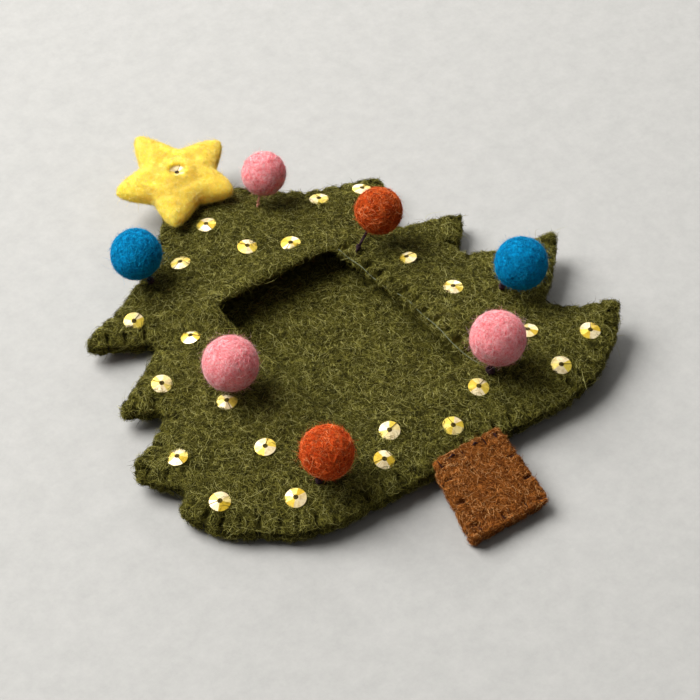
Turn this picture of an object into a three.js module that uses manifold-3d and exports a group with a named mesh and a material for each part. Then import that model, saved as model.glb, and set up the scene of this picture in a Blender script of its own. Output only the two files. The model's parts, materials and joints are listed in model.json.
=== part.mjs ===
// A hand-sewn felt Christmas tree ornament with a picture window, lying on its back.
// Two felt panels are whip-stitched together round the edge. The front one swells off the back one and
// has a window cut in it. A felt trunk is sewn to the skirt, a stuffed star to the top, and the front
// carries cup sequins and seven wool baubles, each on a short shank of thread.
// Millimetres and degrees. +X is the tree's right, +Y points to the star and +Z is up, out of the front.
// The origin is on the flat underside, under the middle of the window.
import * as THREE from "three";
import { mergeVertices } from "three/addons/utils/BufferGeometryUtils.js";
import Module from "manifold-3d";

const wasm = await Module();
wasm.setup();

// Felt panels
const PANEL_FELT = 1.7;
const SEAM_GAP = 0.3;
const SEAT_GAP = 0.3;
const PUFF_RISE = 3.6;
const PUFF_REACH = 18;
const LEFT_CURL = { top: 5, foot: 0.8 };
const RIGHT_CURL = { top: 2, foot: 5 };
const CURL_TOP = 30;
const CURL_FOOT = -20;
const CURL_START = 20;
const CURL_LENGTH = 32;
const SKIRT_RISE = 1.2;
const SKIRT_RISE_START = -20;
const SKIRT_RISE_LENGTH = 16;
const GRID_STEP = 4.6;

// The tree's outline, anticlockwise from its top. Places on the tree are hundredths of its width and of its
// height, from the middle of the window. Each corner has the length that its rounding takes from the edges
// beside it, and the edge that follows it bows inwards by bow, or outwards where bow is negative.
const TREE_WIDTH = 104;
const TREE_HEIGHT = 96.7;
const TREE_CORNERS = [
  { name: "top", at: [0.5, 61.5], round: 4, bow: 3.8 },
  { name: "left tip 1", at: [-39.9, 29.6], round: 3, bow: 0 },
  { name: "left notch 1", at: [-26.9, 23.1], round: 1.5, bow: 0.4 },
  { name: "left tip 2", at: [-44, 10.8], round: 3, bow: 0 },
  { name: "left notch 2", at: [-35.1, 6.4], round: 1.5, bow: 0.6 },
  { name: "left tip 3", at: [-50.3, -3.3], round: 4, bow: 0 },
  { name: "left notch 3", at: [-42.6, -12.6], round: 1.5, bow: 0 },
  { name: "left tip 4", at: [-48.1, -15.1], round: 3.5, bow: -1.5 },
  { name: "skirt left", at: [-32.2, -35.6], round: 9, bow: -0.3 },
  { name: "skirt right", at: [31.7, -38.5], round: 8, bow: -0.6 },
  { name: "right tip 4", at: [46.9, -26.1], round: 3.2, bow: 1 },
  { name: "right notch 3", at: [35.6, -15.7], round: 1.5, bow: -0.5 },
  { name: "right tip 3", at: [49.7, -3.1], round: 3, bow: 1.5 },
  { name: "right notch 2", at: [31.7, 6.4], round: 1.5, bow: 0 },
  { name: "right tip 2", at: [40.2, 15.1], round: 3, bow: 0 },
  { name: "right notch 1", at: [26.2, 20.4], round: 1.5, bow: 0 },
  { name: "right tip 1", at: [33.5, 34.1], round: 3, bow: 4.4 },
];
const OUTLINE_STEPS = 5;

// Picture window
const WINDOW_WIDTH = 28.4;
const WINDOW_HEIGHT = 39;
const WINDOW_CORNER = 0.8;

// Thread that whips the edges together
const EDGE_THREAD = 0.7;
const THREAD_SIDES = 6;
const THREAD_REACH = SEAT_GAP + EDGE_THREAD / 2;

// Trunk: two layers of brown felt, sewn over the edge of the skirt
const TRUNK_FELT = 1.3;
const TRUNK_TOP_WIDTH = 15;
const TRUNK_FOOT_WIDTH = 17.3;
const TRUNK_LENGTH = 17.3;
const TRUNK_CORNER = 0.8;
const TRUNK_LAP = 0.9;
const TRUNK_BACK_GAP = 0.7;
const TRUNK_CENTRE = 1.1;
const TRUNK_FOOT_SHIFT = -1.6;
const TRUNK_TURN = -2.9;
const TRUNK_SLOPE = 13;

// Star: needle-felted wool with a sequin sunk in its middle. The straight sides of an arm would meet at the
// point radius, but its blunt end stops at the tip radius.
const STAR_CENTRE = [-1.8, 55.7];
const STAR_TIP_RADIUS = 13.2;
const STAR_POINT_RADIUS = 16;
const STAR_VALLEY_RADIUS = 8.3;
const STAR_TIP_SHARPNESS = 9;
const STAR_CROWN = 3.6;
const STAR_BELLY = 2.2;
const STAR_DIMPLE = 1.8;
const STAR_TURN = -0.6;
const STAR_ARMS = 5;
const STAR_ARM_STEPS = 10;
const STAR_RINGS = 8;
const STAR_SIDE_FULLNESS = 0.55;

// Cup sequins
const SEQUIN_DIAMETER = 4;
const SEQUIN_HOLE = 1;
const SEQUIN_CUP = 0.35;
const SEQUIN_FILM = 0.25;
const SEQUIN_FACETS = 8;
const SEQUIN_PLACES = [
  [-3.8, 42],
  [-1.5, 30.9],
  [5.6, 26.3],
  [18.3, 35],
  [26.9, 32.4],
  [-13.3, 36.5],
  [-28.6, 29.1],
  [-22.6, 18.2],
  [-33.5, 11.3],
  [-27, -1],
  [-41.1, -6.2],
  [-28, -15.1],
  [-40.6, -19.4],
  [-29.8, -27.5],
  [-12.4, -30.2],
  [-7.9, -25.6],
  [2.2, -31.4],
  [11.3, -27.1],
  [26.9, -32.1],
  [36.3, -29],
  [27.2, -21.5],
  [23.2, -3.2],
  [21.2, 9.2],
];

// Wool baubles. A shank of thread stands on the felt and leans by lean from upright towards the compass
// direction toward, which is measured from +X to +Y. One stands beside a corner of the window.
const WINDOW_MARGIN = 1.5;
const SHANK_DIAMETER = 1;
const SHANK_SIDES = 8;
const SHANK_CAP_STEPS = 2;
const BAUBLE_DETAIL = 3;
const BESIDE_WINDOW = (100 * (WINDOW_WIDTH / 2 + WINDOW_MARGIN)) / TREE_WIDTH;
const BAUBLES = [
  { name: "blue_left", wool: "blue", at: [-20.1, 36.3], diameter: 10, shank: 0.9, lean: 26, toward: 115 },
  { name: "pink_top", wool: "pink", at: [7.5, 40.7], diameter: 8.8, shank: 1.1, lean: 32, toward: 31 },
  { name: "rust_right", wool: "rust", at: [BESIDE_WINDOW, 17], diameter: 9.1, shank: 3, lean: 48, toward: 12 },
  { name: "blue_right", wool: "blue", at: [30.4, -9.1], diameter: 10.2, shank: 1.1, lean: 30, toward: -32 },
  { name: "pink_right", wool: "pink", at: [15.2, -25.5], diameter: 10.5, shank: 0.8, lean: 24, toward: 25 },
  { name: "pink_left", wool: "pink", at: [-24.2, 1], diameter: 10.4, shank: 0.5, lean: 4, toward: 180 },
  { name: "orange", wool: "orange", at: [-24.7, -27.3], diameter: 9.7, shank: 0.7, lean: 22, toward: 12 },
];

// Colours and finishes
const FINISHES = {
  green: { color: 0x4a4a1f, roughness: 0.95, metalness: 0 },
  greenThread: { color: 0x2f3015, roughness: 0.9, metalness: 0 },
  brown: { color: 0x7a4a20, roughness: 0.95, metalness: 0 },
  brownThread: { color: 0x4a2a18, roughness: 0.9, metalness: 0 },
  yellow: { color: 0xf0cc2a, roughness: 0.95, metalness: 0 },
  blue: { color: 0x1470b4, roughness: 0.95, metalness: 0 },
  pink: { color: 0xd8788a, roughness: 0.95, metalness: 0 },
  rust: { color: 0xa8421c, roughness: 0.95, metalness: 0 },
  orange: { color: 0xc8481e, roughness: 0.95, metalness: 0 },
  plumThread: { color: 0x3a2428, roughness: 0.85, metalness: 0 },
  gold: { color: 0xe6cc70, roughness: 0.25, metalness: 0.6 },
};

// How close two corners are when they count as one
const WELD = 1e-4;

const radians = THREE.MathUtils.degToRad;
const ornament = new THREE.Group();

// Adds a named solid to a group, with its own material.
function addPiece(group, name, geometry, finish) {
  const piece = new THREE.Mesh(geometry, new THREE.MeshStandardMaterial(FINISHES[finish]));
  piece.name = name;
  group.add(piece);
  return piece;
}

// A closed geometry as a solid that can be joined and cut.
function toSolid(geometry) {
  const bare = geometry.clone();
  bare.deleteAttribute("normal");
  bare.deleteAttribute("uv");
  const merged = mergeVertices(bare, WELD);
  return new wasm.Manifold(
    new wasm.Mesh({
      numProp: 3,
      vertProperties: merged.attributes.position.array,
      triVerts: new Uint32Array(merged.index.array),
    }),
  );
}

// The geometry of such a solid.
function toGeometry(solid) {
  const mesh = solid.getMesh();
  const geometry = new THREE.BufferGeometry();
  geometry.setAttribute("position", new THREE.BufferAttribute(mesh.vertProperties, mesh.numProp));
  geometry.setIndex(new THREE.BufferAttribute(mesh.triVerts, 1));
  geometry.computeVertexNormals();
  return geometry;
}

// A geometry from lists of points and of triangles between them.
function fromTriangles(points, triangles) {
  const geometry = new THREE.BufferGeometry();
  geometry.setAttribute("position", new THREE.Float32BufferAttribute(points.flat(), 3));
  geometry.setIndex(triangles.flat());
  geometry.computeVertexNormals();
  return geometry;
}

// A place on the tree, from hundredths of its width and height.
function onTree([x, y]) {
  return [(x * TREE_WIDTH) / 100, (y * TREE_HEIGHT) / 100];
}

// A closed shape with rounded corners and bowed edges.
function roundedShape(corners) {
  const points = corners.map((corner) => new THREE.Vector2(...corner.at));
  const count = corners.length;
  const shape = new THREE.Shape();
  corners.forEach((corner, i) => {
    const here = points[i];
    const next = points[(i + 1) % count];
    const before = points[(i + count - 1) % count];
    const start = here.clone().lerp(before, corner.round / here.distanceTo(before));
    const end = here.clone().lerp(next, corner.round / here.distanceTo(next));
    const nextStart = next.clone().lerp(here, corners[(i + 1) % count].round / next.distanceTo(here));
    const along = nextStart.clone().sub(end).normalize();
    const inward = new THREE.Vector2(-along.y, along.x);
    const control = end.clone().add(nextStart).multiplyScalar(0.5).addScaledVector(inward, 2 * corner.bow);
    if (i === 0) shape.moveTo(start.x, start.y);
    shape.quadraticCurveTo(here.x, here.y, end.x, end.y);
    if (corner.bow) shape.quadraticCurveTo(control.x, control.y, nextStart.x, nextStart.y);
    else shape.lineTo(nextStart.x, nextStart.y);
  });
  return shape;
}

// A rectangle about the origin with rounded corners.
function roundedRectangle(width, height, round) {
  const corners = [
    [-1, 1],
    [-1, -1],
    [1, -1],
    [1, 1],
  ];
  return roundedShape(
    corners.map(([x, y]) => ({ at: [(x * width) / 2, (y * height) / 2], round, bow: 0 })),
  );
}

const treeShape = roundedShape(TREE_CORNERS.map((corner) => ({ ...corner, at: onTree(corner.at) })));
const treeLoop = treeShape.getPoints(OUTLINE_STEPS).slice(0, -1);

// How far a point lies inside the tree's edge, or 0 outside it.
function depthInTree(x, y) {
  let nearest = Infinity;
  let inside = false;
  treeLoop.forEach((a, i) => {
    const b = treeLoop[(i + 1) % treeLoop.length];
    const along = b.clone().sub(a);
    const t = ((x - a.x) * along.x + (y - a.y) * along.y) / along.lengthSq();
    const foot = a.clone().addScaledVector(along, THREE.MathUtils.clamp(t, 0, 1));
    nearest = Math.min(nearest, Math.hypot(x - foot.x, y - foot.y));
    if (a.y > y !== b.y > y && x < a.x + ((y - a.y) / along.y) * along.x) inside = !inside;
  });
  return inside ? nearest : 0;
}

// How far the felt curls up off the table, at the branch tips and along the skirt.
function liftAt(x, y) {
  const side = Math.max(0, (Math.abs(x) - CURL_START) / CURL_LENGTH);
  const skirt = Math.max(0, (SKIRT_RISE_START - y) / SKIRT_RISE_LENGTH);
  const curl = x < 0 ? LEFT_CURL : RIGHT_CURL;
  const rise = THREE.MathUtils.mapLinear(y, CURL_FOOT, CURL_TOP, curl.foot, curl.top);
  return Math.max(0, rise) * side ** 2 + SKIRT_RISE * skirt ** 2;
}

// How far the front panel swells off the back one.
function puffAt(x, y) {
  return PUFF_RISE * Math.sin((Math.min(1, depthInTree(x, y) / PUFF_REACH) * Math.PI) / 2);
}

// A square grid that covers the tree, on which the felt's surfaces are held.
const treeBox = new THREE.Box2().setFromPoints(treeLoop).expandByScalar(GRID_STEP / 2);
const gridColumns = Math.ceil((treeBox.max.x - treeBox.min.x) / GRID_STEP);
const gridRows = Math.ceil((treeBox.max.y - treeBox.min.y) / GRID_STEP);

// A surface over the grid as rows of points.
function surfaceOf(heightAt) {
  const rows = [];
  for (let row = 0; row <= gridRows; row += 1) {
    const points = [];
    for (let column = 0; column <= gridColumns; column += 1) {
      const x = treeBox.min.x + column * GRID_STEP;
      const y = treeBox.min.y + row * GRID_STEP;
      points.push([x, y, heightAt(x, y)]);
    }
    rows.push(points);
  }
  return rows;
}

// The triangle of a surface that lies over a place.
function triangleOver(surface, x, y) {
  const column = Math.floor((x - treeBox.min.x) / GRID_STEP);
  const row = Math.floor((y - treeBox.min.y) / GRID_STEP);
  const [a, b] = [surface[row][column], surface[row + 1][column + 1]];
  const below = x - a[0] > y - a[1];
  const c = below ? surface[row][column + 1] : surface[row + 1][column];
  const corners = (below ? [a, c, b] : [a, b, c]).map((p) => new THREE.Vector3(...p));
  return new THREE.Triangle(...corners);
}

// The point of a surface over a place, and the surface's direction there.
function seatOn(surface, x, y) {
  const triangle = triangleOver(surface, x, y);
  const normal = triangle.getNormal(new THREE.Vector3());
  const z = triangle.a.z - (normal.x * (x - triangle.a.x) + normal.y * (y - triangle.a.y)) / normal.z;
  return { point: new THREE.Vector3(x, y, z), normal };
}

// The closed slab between two surfaces.
function slabBetween(lower, upper) {
  const points = [...lower.flat(), ...upper.flat()];
  const layer = (gridRows + 1) * (gridColumns + 1);
  const triangles = [];
  const quad = (a, b, c, d) => triangles.push([a, b, c], [a, c, d]);
  const index = (row, column) => row * (gridColumns + 1) + column;
  for (let row = 0; row < gridRows; row += 1) {
    for (let column = 0; column < gridColumns; column += 1) {
      const [a, b] = [index(row, column), index(row, column + 1)];
      const [d, c] = [index(row + 1, column), index(row + 1, column + 1)];
      triangles.push([a, c, b], [a, d, c]);
      quad(a + layer, b + layer, c + layer, d + layer);
    }
  }
  for (let column = 0; column < gridColumns; column += 1) {
    const [a, b] = [index(0, column), index(0, column + 1)];
    const [c, d] = [index(gridRows, column), index(gridRows, column + 1)];
    quad(a, b, b + layer, a + layer);
    quad(d, c, c + layer, d + layer);
  }
  for (let row = 0; row < gridRows; row += 1) {
    const [a, b] = [index(row, 0), index(row + 1, 0)];
    const [c, d] = [index(row, gridColumns), index(row + 1, gridColumns)];
    quad(b, a, a + layer, b + layer);
    quad(c, d, d + layer, c + layer);
  }
  return fromTriangles(points, triangles);
}

// A prism that stands well past both faces of the felt.
function tallPrism(shape) {
  const geometry = new THREE.ExtrudeGeometry(shape, {
    depth: 2 * TREE_WIDTH,
    bevelEnabled: false,
    curveSegments: OUTLINE_STEPS,
  });
  return toSolid(geometry.translate(0, 0, -TREE_WIDTH));
}

// Front and back panels
const backUnder = surfaceOf(liftAt);
const backTop = surfaceOf((x, y) => liftAt(x, y) + PANEL_FELT);
const frontUnder = surfaceOf((x, y) => liftAt(x, y) + PANEL_FELT + SEAM_GAP + puffAt(x, y));
const frontTop = surfaceOf((x, y) => liftAt(x, y) + 2 * PANEL_FELT + SEAM_GAP + puffAt(x, y));
const treePrism = tallPrism(treeShape);
const windowPrism = tallPrism(roundedRectangle(WINDOW_WIDTH, WINDOW_HEIGHT, WINDOW_CORNER));
const backSolid = toSolid(slabBetween(backUnder, backTop)).intersect(treePrism);
const frontSolid = toSolid(slabBetween(frontUnder, frontTop)).intersect(treePrism).subtract(windowPrism);
addPiece(ornament, "back_panel", toGeometry(backSolid), "green");
addPiece(ornament, "front_panel", toGeometry(frontSolid), "green");

// A thread of round section through a list of points, closed into a loop or with flat ends.
function threadThrough(points, diameter, closed) {
  const count = points.length;
  const up = new THREE.Vector3(0, 0, 1);
  const rings = points.map((point, i) => {
    const next = points[closed ? (i + 1) % count : Math.min(i + 1, count - 1)];
    const before = points[closed ? (i + count - 1) % count : Math.max(i - 1, 0)];
    const along = next.clone().sub(before).normalize();
    const side = along.clone().cross(up).normalize();
    const over = side.clone().cross(along);
    return Array.from({ length: THREAD_SIDES }, (_, k) => {
      const turn = (2 * Math.PI * k) / THREAD_SIDES;
      const place = point.clone().addScaledVector(side, (Math.cos(turn) * diameter) / 2);
      return place.addScaledVector(over, (Math.sin(turn) * diameter) / 2).toArray();
    });
  });
  const triangles = [];
  const lastRing = closed ? count : count - 1;
  for (let i = 0; i < lastRing; i += 1) {
    for (let k = 0; k < THREAD_SIDES; k += 1) {
      const [a, b] = [i * THREAD_SIDES + k, i * THREAD_SIDES + ((k + 1) % THREAD_SIDES)];
      const shift = (((i + 1) % count) - i) * THREAD_SIDES;
      triangles.push([a, b + shift, b], [a, a + shift, b + shift]);
    }
  }
  for (let k = 1; !closed && k < THREAD_SIDES - 1; k += 1) {
    const last = (count - 1) * THREAD_SIDES;
    triangles.push([0, k, k + 1], [last, last + k + 1, last + k]);
  }
  return fromTriangles(rings.flat(), triangles);
}

// A loop of points moved outwards by a distance.
function movedOut(loop, distance) {
  return loop.map((point, i) => {
    const next = loop[(i + 1) % loop.length];
    const before = loop[(i + loop.length - 1) % loop.length];
    const [into, out] = [point.clone().sub(before).normalize(), next.clone().sub(point).normalize()];
    const along = into.clone().add(out).normalize();
    const spread = distance / Math.sqrt((1 + into.dot(out)) / 2);
    return new THREE.Vector2(point.x + along.y * spread, point.y - along.x * spread);
  });
}

// The thread of the edge stitching, run as one line round the seam
const edgeLine = movedOut(treeLoop, THREAD_REACH).map(
  (p) => new THREE.Vector3(p.x, p.y, liftAt(p.x, p.y) + PANEL_FELT + SEAM_GAP / 2),
);
addPiece(ornament, "edge_thread", threadThrough(edgeLine, EDGE_THREAD, true), "greenThread");

// A cup sequin with its hole down and its cup open outwards
const sequinProfile = [
  [SEQUIN_HOLE / 2, 0],
  [SEQUIN_DIAMETER / 2, SEQUIN_CUP],
  [SEQUIN_DIAMETER / 2, SEQUIN_CUP + SEQUIN_FILM],
  [SEQUIN_HOLE / 2, SEQUIN_FILM],
  [SEQUIN_HOLE / 2, 0],
].map(([r, z]) => new THREE.Vector2(r, z));
const outwards = new THREE.Vector3(0, 0, 1);

function sequinGeometry() {
  return new THREE.LatheGeometry(sequinProfile, SEQUIN_FACETS).rotateX(Math.PI / 2);
}

// Cup sequins on the front, each turned over, with its rim down on the felt and its hole on top
function turnedSequinGeometry() {
  return sequinGeometry()
    .rotateX(Math.PI)
    .translate(0, 0, SEQUIN_CUP + SEQUIN_FILM);
}

SEQUIN_PLACES.forEach((at, i) => {
  const seat = seatOn(frontTop, ...onTree(at));
  const name = `sequin_${String(i + 1).padStart(2, "0")}`;
  const sequin = addPiece(ornament, name, turnedSequinGeometry(), "gold");
  sequin.position.copy(seat.point).addScaledVector(seat.normal, SEAT_GAP);
  sequin.quaternion.setFromUnitVectors(outwards, seat.normal);
});

// How far the star reaches in a direction, which is measured from the middle of an arm
function starReach(turn) {
  const halfArm = Math.PI / STAR_ARMS;
  const off = Math.abs(THREE.MathUtils.euclideanModulo(turn + halfArm, 2 * halfArm) - halfArm);
  const spread = STAR_POINT_RADIUS * Math.sin(off) + STAR_VALLEY_RADIUS * Math.sin(halfArm - off);
  const side = (STAR_POINT_RADIUS * STAR_VALLEY_RADIUS * Math.sin(halfArm)) / spread;
  const sum = side ** -STAR_TIP_SHARPNESS + STAR_TIP_RADIUS ** -STAR_TIP_SHARPNESS;
  return sum ** (-1 / STAR_TIP_SHARPNESS);
}

// Star: a swollen five-armed cushion of wool, drawn in at its middle by the sequin's stitch
function starGeometry() {
  const around = STAR_ARMS * STAR_ARM_STEPS;
  const points = [[0, 0, -STAR_BELLY]];
  for (let ring = 1; ring < STAR_RINGS; ring += 1) {
    const rise = Math.PI * (ring / STAR_RINGS - 0.5);
    const share = Math.cos(rise) ** STAR_SIDE_FULLNESS;
    for (let step = 0; step < around; step += 1) {
      const turn = (2 * Math.PI * step) / around;
      const radius = share * starReach(turn);
      const height = (rise > 0 ? STAR_CROWN : STAR_BELLY) * Math.sin(rise);
      points.push([-radius * Math.sin(turn), radius * Math.cos(turn), height]);
    }
  }
  points.push([0, 0, STAR_CROWN - STAR_DIMPLE]);
  const triangles = [];
  const last = points.length - 1;
  for (let step = 0; step < around; step += 1) {
    const next = (step + 1) % around;
    triangles.push([0, 1 + next, 1 + step]);
    triangles.push([last, last - around + step, last - around + next]);
    for (let ring = 0; ring < STAR_RINGS - 2; ring += 1) {
      const [a, b] = [1 + ring * around + step, 1 + ring * around + next];
      triangles.push([a, b, b + around], [a, b + around, a + around]);
    }
  }
  return fromTriangles(points, triangles);
}

// The lowest height at which a geometry, placed over the front, clears it everywhere by the seat gap.
function restingHeight(geometry) {
  const points = geometry.attributes.position;
  const heights = Array.from({ length: points.count }, (_, i) => {
    const [x, y] = [points.getX(i), points.getY(i)];
    return depthInTree(x, y) > 0 ? seatOn(frontTop, x, y).point.z - points.getZ(i) : -Infinity;
  });
  return Math.max(...heights) + SEAT_GAP;
}

const star = new THREE.Group();
star.position.set(...onTree(STAR_CENTRE), 0);
star.rotation.z = radians(STAR_TURN);
star.updateMatrix();
star.position.z = restingHeight(starGeometry().applyMatrix4(star.matrix));
ornament.add(star);
addPiece(star, "star", starGeometry(), "yellow");
const starSequin = addPiece(star, "star_sequin", sequinGeometry(), "gold");
starSequin.position.z = STAR_CROWN - STAR_DIMPLE + SEAT_GAP;

// Baubles: a ball of wool on a shank of thread with round ends, about which it leans and sways
function shankGeometry(length) {
  const cap = Array.from({ length: SHANK_CAP_STEPS + 1 }, (_, i) => (i / SHANK_CAP_STEPS) * (Math.PI / 2));
  const radius = SHANK_DIAMETER / 2;
  const foot = cap.map((turn) => new THREE.Vector2(radius * Math.sin(turn), -radius * Math.cos(turn)));
  const head = cap.map((turn) => new THREE.Vector2(radius * Math.cos(turn), length + radius * Math.sin(turn)));
  foot[0].x = 0;
  head[SHANK_CAP_STEPS].x = 0;
  return new THREE.LatheGeometry([...foot, ...head], SHANK_SIDES).rotateX(Math.PI / 2);
}

BAUBLES.forEach(({ name, wool, at, diameter, shank, lean, toward }) => {
  const seat = seatOn(frontTop, ...onTree(at));
  const bauble = new THREE.Group();
  bauble.position.copy(seat.point).addScaledVector(seat.normal, SEAT_GAP + SHANK_DIAMETER / 2);
  bauble.rotation.set(0, radians(lean), radians(toward), "ZYX");
  ornament.add(bauble);
  addPiece(bauble, `${name}_shank`, shankGeometry(shank), "plumThread");
  const sphere = new THREE.IcosahedronGeometry(diameter / 2, BAUBLE_DETAIL);
  const ball = addPiece(bauble, `${name}_ball`, sphere, wool);
  ball.position.z = shank + SHANK_DIAMETER / 2 + SEAT_GAP + diameter / 2;
});

// Trunk: its top edge lies on the front, just inside the edge of the skirt, and is its hinge
function skirtEdgeUnder(x) {
  const crossings = treeLoop.flatMap((a, i) => {
    const b = treeLoop[(i + 1) % treeLoop.length];
    return a.x > x !== b.x > x ? [a.y + ((x - a.x) / (b.x - a.x)) * (b.y - a.y)] : [];
  });
  return Math.min(...crossings);
}

// The outline of a layer of the trunk, from a distance down it to its foot. Its sides spread and lean.
function trunkShape(top) {
  const sideAt = (down, side) => {
    const share = down / TRUNK_LENGTH;
    const width = TRUNK_TOP_WIDTH + (TRUNK_FOOT_WIDTH - TRUNK_TOP_WIDTH) * share;
    return [TRUNK_FOOT_SHIFT * share + (side * width) / 2, -down];
  };
  const corners = [
    sideAt(top, -1),
    sideAt(TRUNK_LENGTH, -1),
    sideAt(TRUNK_LENGTH, 1),
    sideAt(top, 1),
  ].map((at) => ({ at, round: TRUNK_CORNER, bow: 0 }));
  return roundedShape(corners);
}

function trunkGeometry(top, layerBase) {
  const plate = new THREE.ExtrudeGeometry(trunkShape(top), {
    depth: TRUNK_FELT,
    bevelEnabled: false,
    curveSegments: OUTLINE_STEPS,
  });
  return plate.translate(0, 0, layerBase);
}

const trunk = new THREE.Group();
const [trunkX] = onTree([TRUNK_CENTRE, 0]);
const trunkSeat = seatOn(frontTop, trunkX, skirtEdgeUnder(trunkX) + TRUNK_LAP);
const lapDrop = TRUNK_LAP * Math.tan(radians(TRUNK_SLOPE));
trunk.position.copy(trunkSeat.point).add(new THREE.Vector3(0, 0, SEAT_GAP + lapDrop));
trunk.rotation.set(radians(TRUNK_SLOPE), 0, radians(TRUNK_TURN), "ZXY");
ornament.add(trunk);
addPiece(trunk, "trunk_front", trunkGeometry(0, 0), "brown");
const trunkBackTop = TRUNK_LAP + TRUNK_BACK_GAP;
addPiece(trunk, "trunk_back", trunkGeometry(trunkBackTop, -SEAM_GAP - TRUNK_FELT), "brown");
const trunkLoop = trunkShape(trunkBackTop).getPoints(OUTLINE_STEPS).slice(0, -1);
const trunkLine = movedOut(trunkLoop, THREAD_REACH)
  .slice(OUTLINE_STEPS, -OUTLINE_STEPS)
  .map((p) => new THREE.Vector3(p.x, p.y, -SEAM_GAP / 2));
addPiece(trunk, "trunk_thread", threadThrough(trunkLine, EDGE_THREAD, false), "brownThread");

export default ornament;
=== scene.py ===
"""A hand-sewn felt tree with a picture window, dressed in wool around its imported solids.

Two felt panels are whip-stitched together round the edge. A brown felt trunk is sewn to the skirt, and a
stuffed star, cup sequins and seven wool baubles sit on the front. The cloth solver swells every soft form
between its stitches, and loose wool fibres then cover it. Sizes in the classes are millimetres.
"""

import json
import logging
import math
from dataclasses import dataclass, field
from enum import Enum
from functools import cache
from typing import Callable

import bmesh
import bpy
import numpy as np
from mathutils import Color, Matrix, Vector, noise
from mathutils.bvhtree import BVHTree


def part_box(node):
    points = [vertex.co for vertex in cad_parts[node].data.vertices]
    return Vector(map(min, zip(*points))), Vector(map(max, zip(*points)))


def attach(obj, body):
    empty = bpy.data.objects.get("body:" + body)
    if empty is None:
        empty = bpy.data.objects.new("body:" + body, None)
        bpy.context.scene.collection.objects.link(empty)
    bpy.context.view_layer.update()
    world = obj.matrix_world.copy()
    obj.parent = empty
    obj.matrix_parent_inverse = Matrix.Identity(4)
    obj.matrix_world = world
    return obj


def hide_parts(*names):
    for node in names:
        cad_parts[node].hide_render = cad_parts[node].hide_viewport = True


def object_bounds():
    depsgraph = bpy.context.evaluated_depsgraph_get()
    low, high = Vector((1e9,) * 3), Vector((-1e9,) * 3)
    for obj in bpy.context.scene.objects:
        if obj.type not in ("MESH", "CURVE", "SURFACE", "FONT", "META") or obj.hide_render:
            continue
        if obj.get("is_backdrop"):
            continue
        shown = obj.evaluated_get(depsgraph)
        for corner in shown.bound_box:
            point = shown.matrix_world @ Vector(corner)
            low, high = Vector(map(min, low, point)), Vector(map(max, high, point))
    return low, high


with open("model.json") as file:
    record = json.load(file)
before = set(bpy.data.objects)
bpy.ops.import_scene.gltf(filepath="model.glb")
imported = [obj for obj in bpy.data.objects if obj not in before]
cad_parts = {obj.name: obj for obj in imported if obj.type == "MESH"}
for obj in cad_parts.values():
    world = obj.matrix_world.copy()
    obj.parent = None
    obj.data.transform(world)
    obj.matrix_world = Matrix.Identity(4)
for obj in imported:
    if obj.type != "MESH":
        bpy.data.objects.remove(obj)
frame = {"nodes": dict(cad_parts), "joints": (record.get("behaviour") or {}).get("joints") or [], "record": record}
cad_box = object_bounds()

LOG = logging.getLogger("felt_tree")
MM = 0.001
UP = np.array([0.0, 0.0, 1.0])
EAST = np.array([1.0, 0.0, 0.0])
Paint = tuple[int, int, int]
WHITE = (255, 255, 255)


def linear(paint: Paint) -> tuple[float, float, float, float]:
    """A screen colour, 0 to 255, as the shader's linear colour."""
    return (*Color([part / 255 for part in paint]).from_srgb_to_scene_linear(), 1.0)


def unit(vectors: np.ndarray) -> np.ndarray:
    """The vectors at length 1."""
    return vectors / np.maximum(np.linalg.norm(vectors, axis=-1, keepdims=True), 1e-12)


def read_rows(items: bpy.types.bpy_prop_collection, name: str, kind: type) -> np.ndarray:
    """One property of all items, in rows of three."""
    rows = np.empty(len(items) * 3, kind)
    items.foreach_get(name, rows)
    return rows.reshape(-1, 3)


def read_points(mesh: bpy.types.Mesh) -> np.ndarray:
    """The mesh's vertices in rows of three."""
    return read_rows(mesh.vertices, "co", np.float32).astype(float)


def write_points(mesh: bpy.types.Mesh, points: np.ndarray) -> None:
    """Puts the mesh's vertices at the points."""
    mesh.vertices.foreach_set("co", points.astype(np.float32).ravel())
    mesh.update()


def read_normals(mesh: bpy.types.Mesh) -> np.ndarray:
    """The mesh's vertex normals in rows of three."""
    return read_rows(mesh.vertex_normals, "vector", np.float32).astype(float)


def read_triangles(mesh: bpy.types.Mesh) -> np.ndarray:
    """The mesh's triangles as rows of three vertex numbers."""
    mesh.calc_loop_triangles()
    return read_rows(mesh.loop_triangles, "vertices", np.int32)


def shade_smooth(mesh: bpy.types.Mesh) -> None:
    """Shades all of the mesh's faces smoothly."""
    mesh.polygons.foreach_set("use_smooth", np.ones(len(mesh.polygons), bool))


def add_object(name: str, mesh: bpy.types.Mesh) -> bpy.types.Object:
    """A new object in the scene that shows the mesh."""
    made = bpy.data.objects.new(name, mesh)
    bpy.context.scene.collection.objects.link(made)
    return made


def shown_mesh(piece: bpy.types.Object) -> bpy.types.Mesh:
    """The object's mesh as its modifiers leave it, as a new mesh."""
    graph = bpy.context.evaluated_depsgraph_get()
    return bpy.data.meshes.new_from_object(piece.evaluated_get(graph))


def settle_modifiers(piece: bpy.types.Object) -> None:
    """Applies the object's modifiers to its mesh."""
    mesh = shown_mesh(piece)
    piece.modifiers.clear()
    piece.data = mesh


def lumps(points: np.ndarray, size: float, seed: float) -> np.ndarray:
    """Smooth random heights from -1 to 1, whose bumps are about size millimetres apart."""
    places = points / (size * MM) + seed
    return np.array([noise.noise(place) for place in places.tolist()])


def fade(distance: np.ndarray, reach: float) -> np.ndarray:
    """1 at no distance, falling smoothly to 0 at the reach, both in the same unit."""
    share = np.clip(1 - distance / reach, 0, 1)
    return share * share * (3 - 2 * share)


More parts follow.
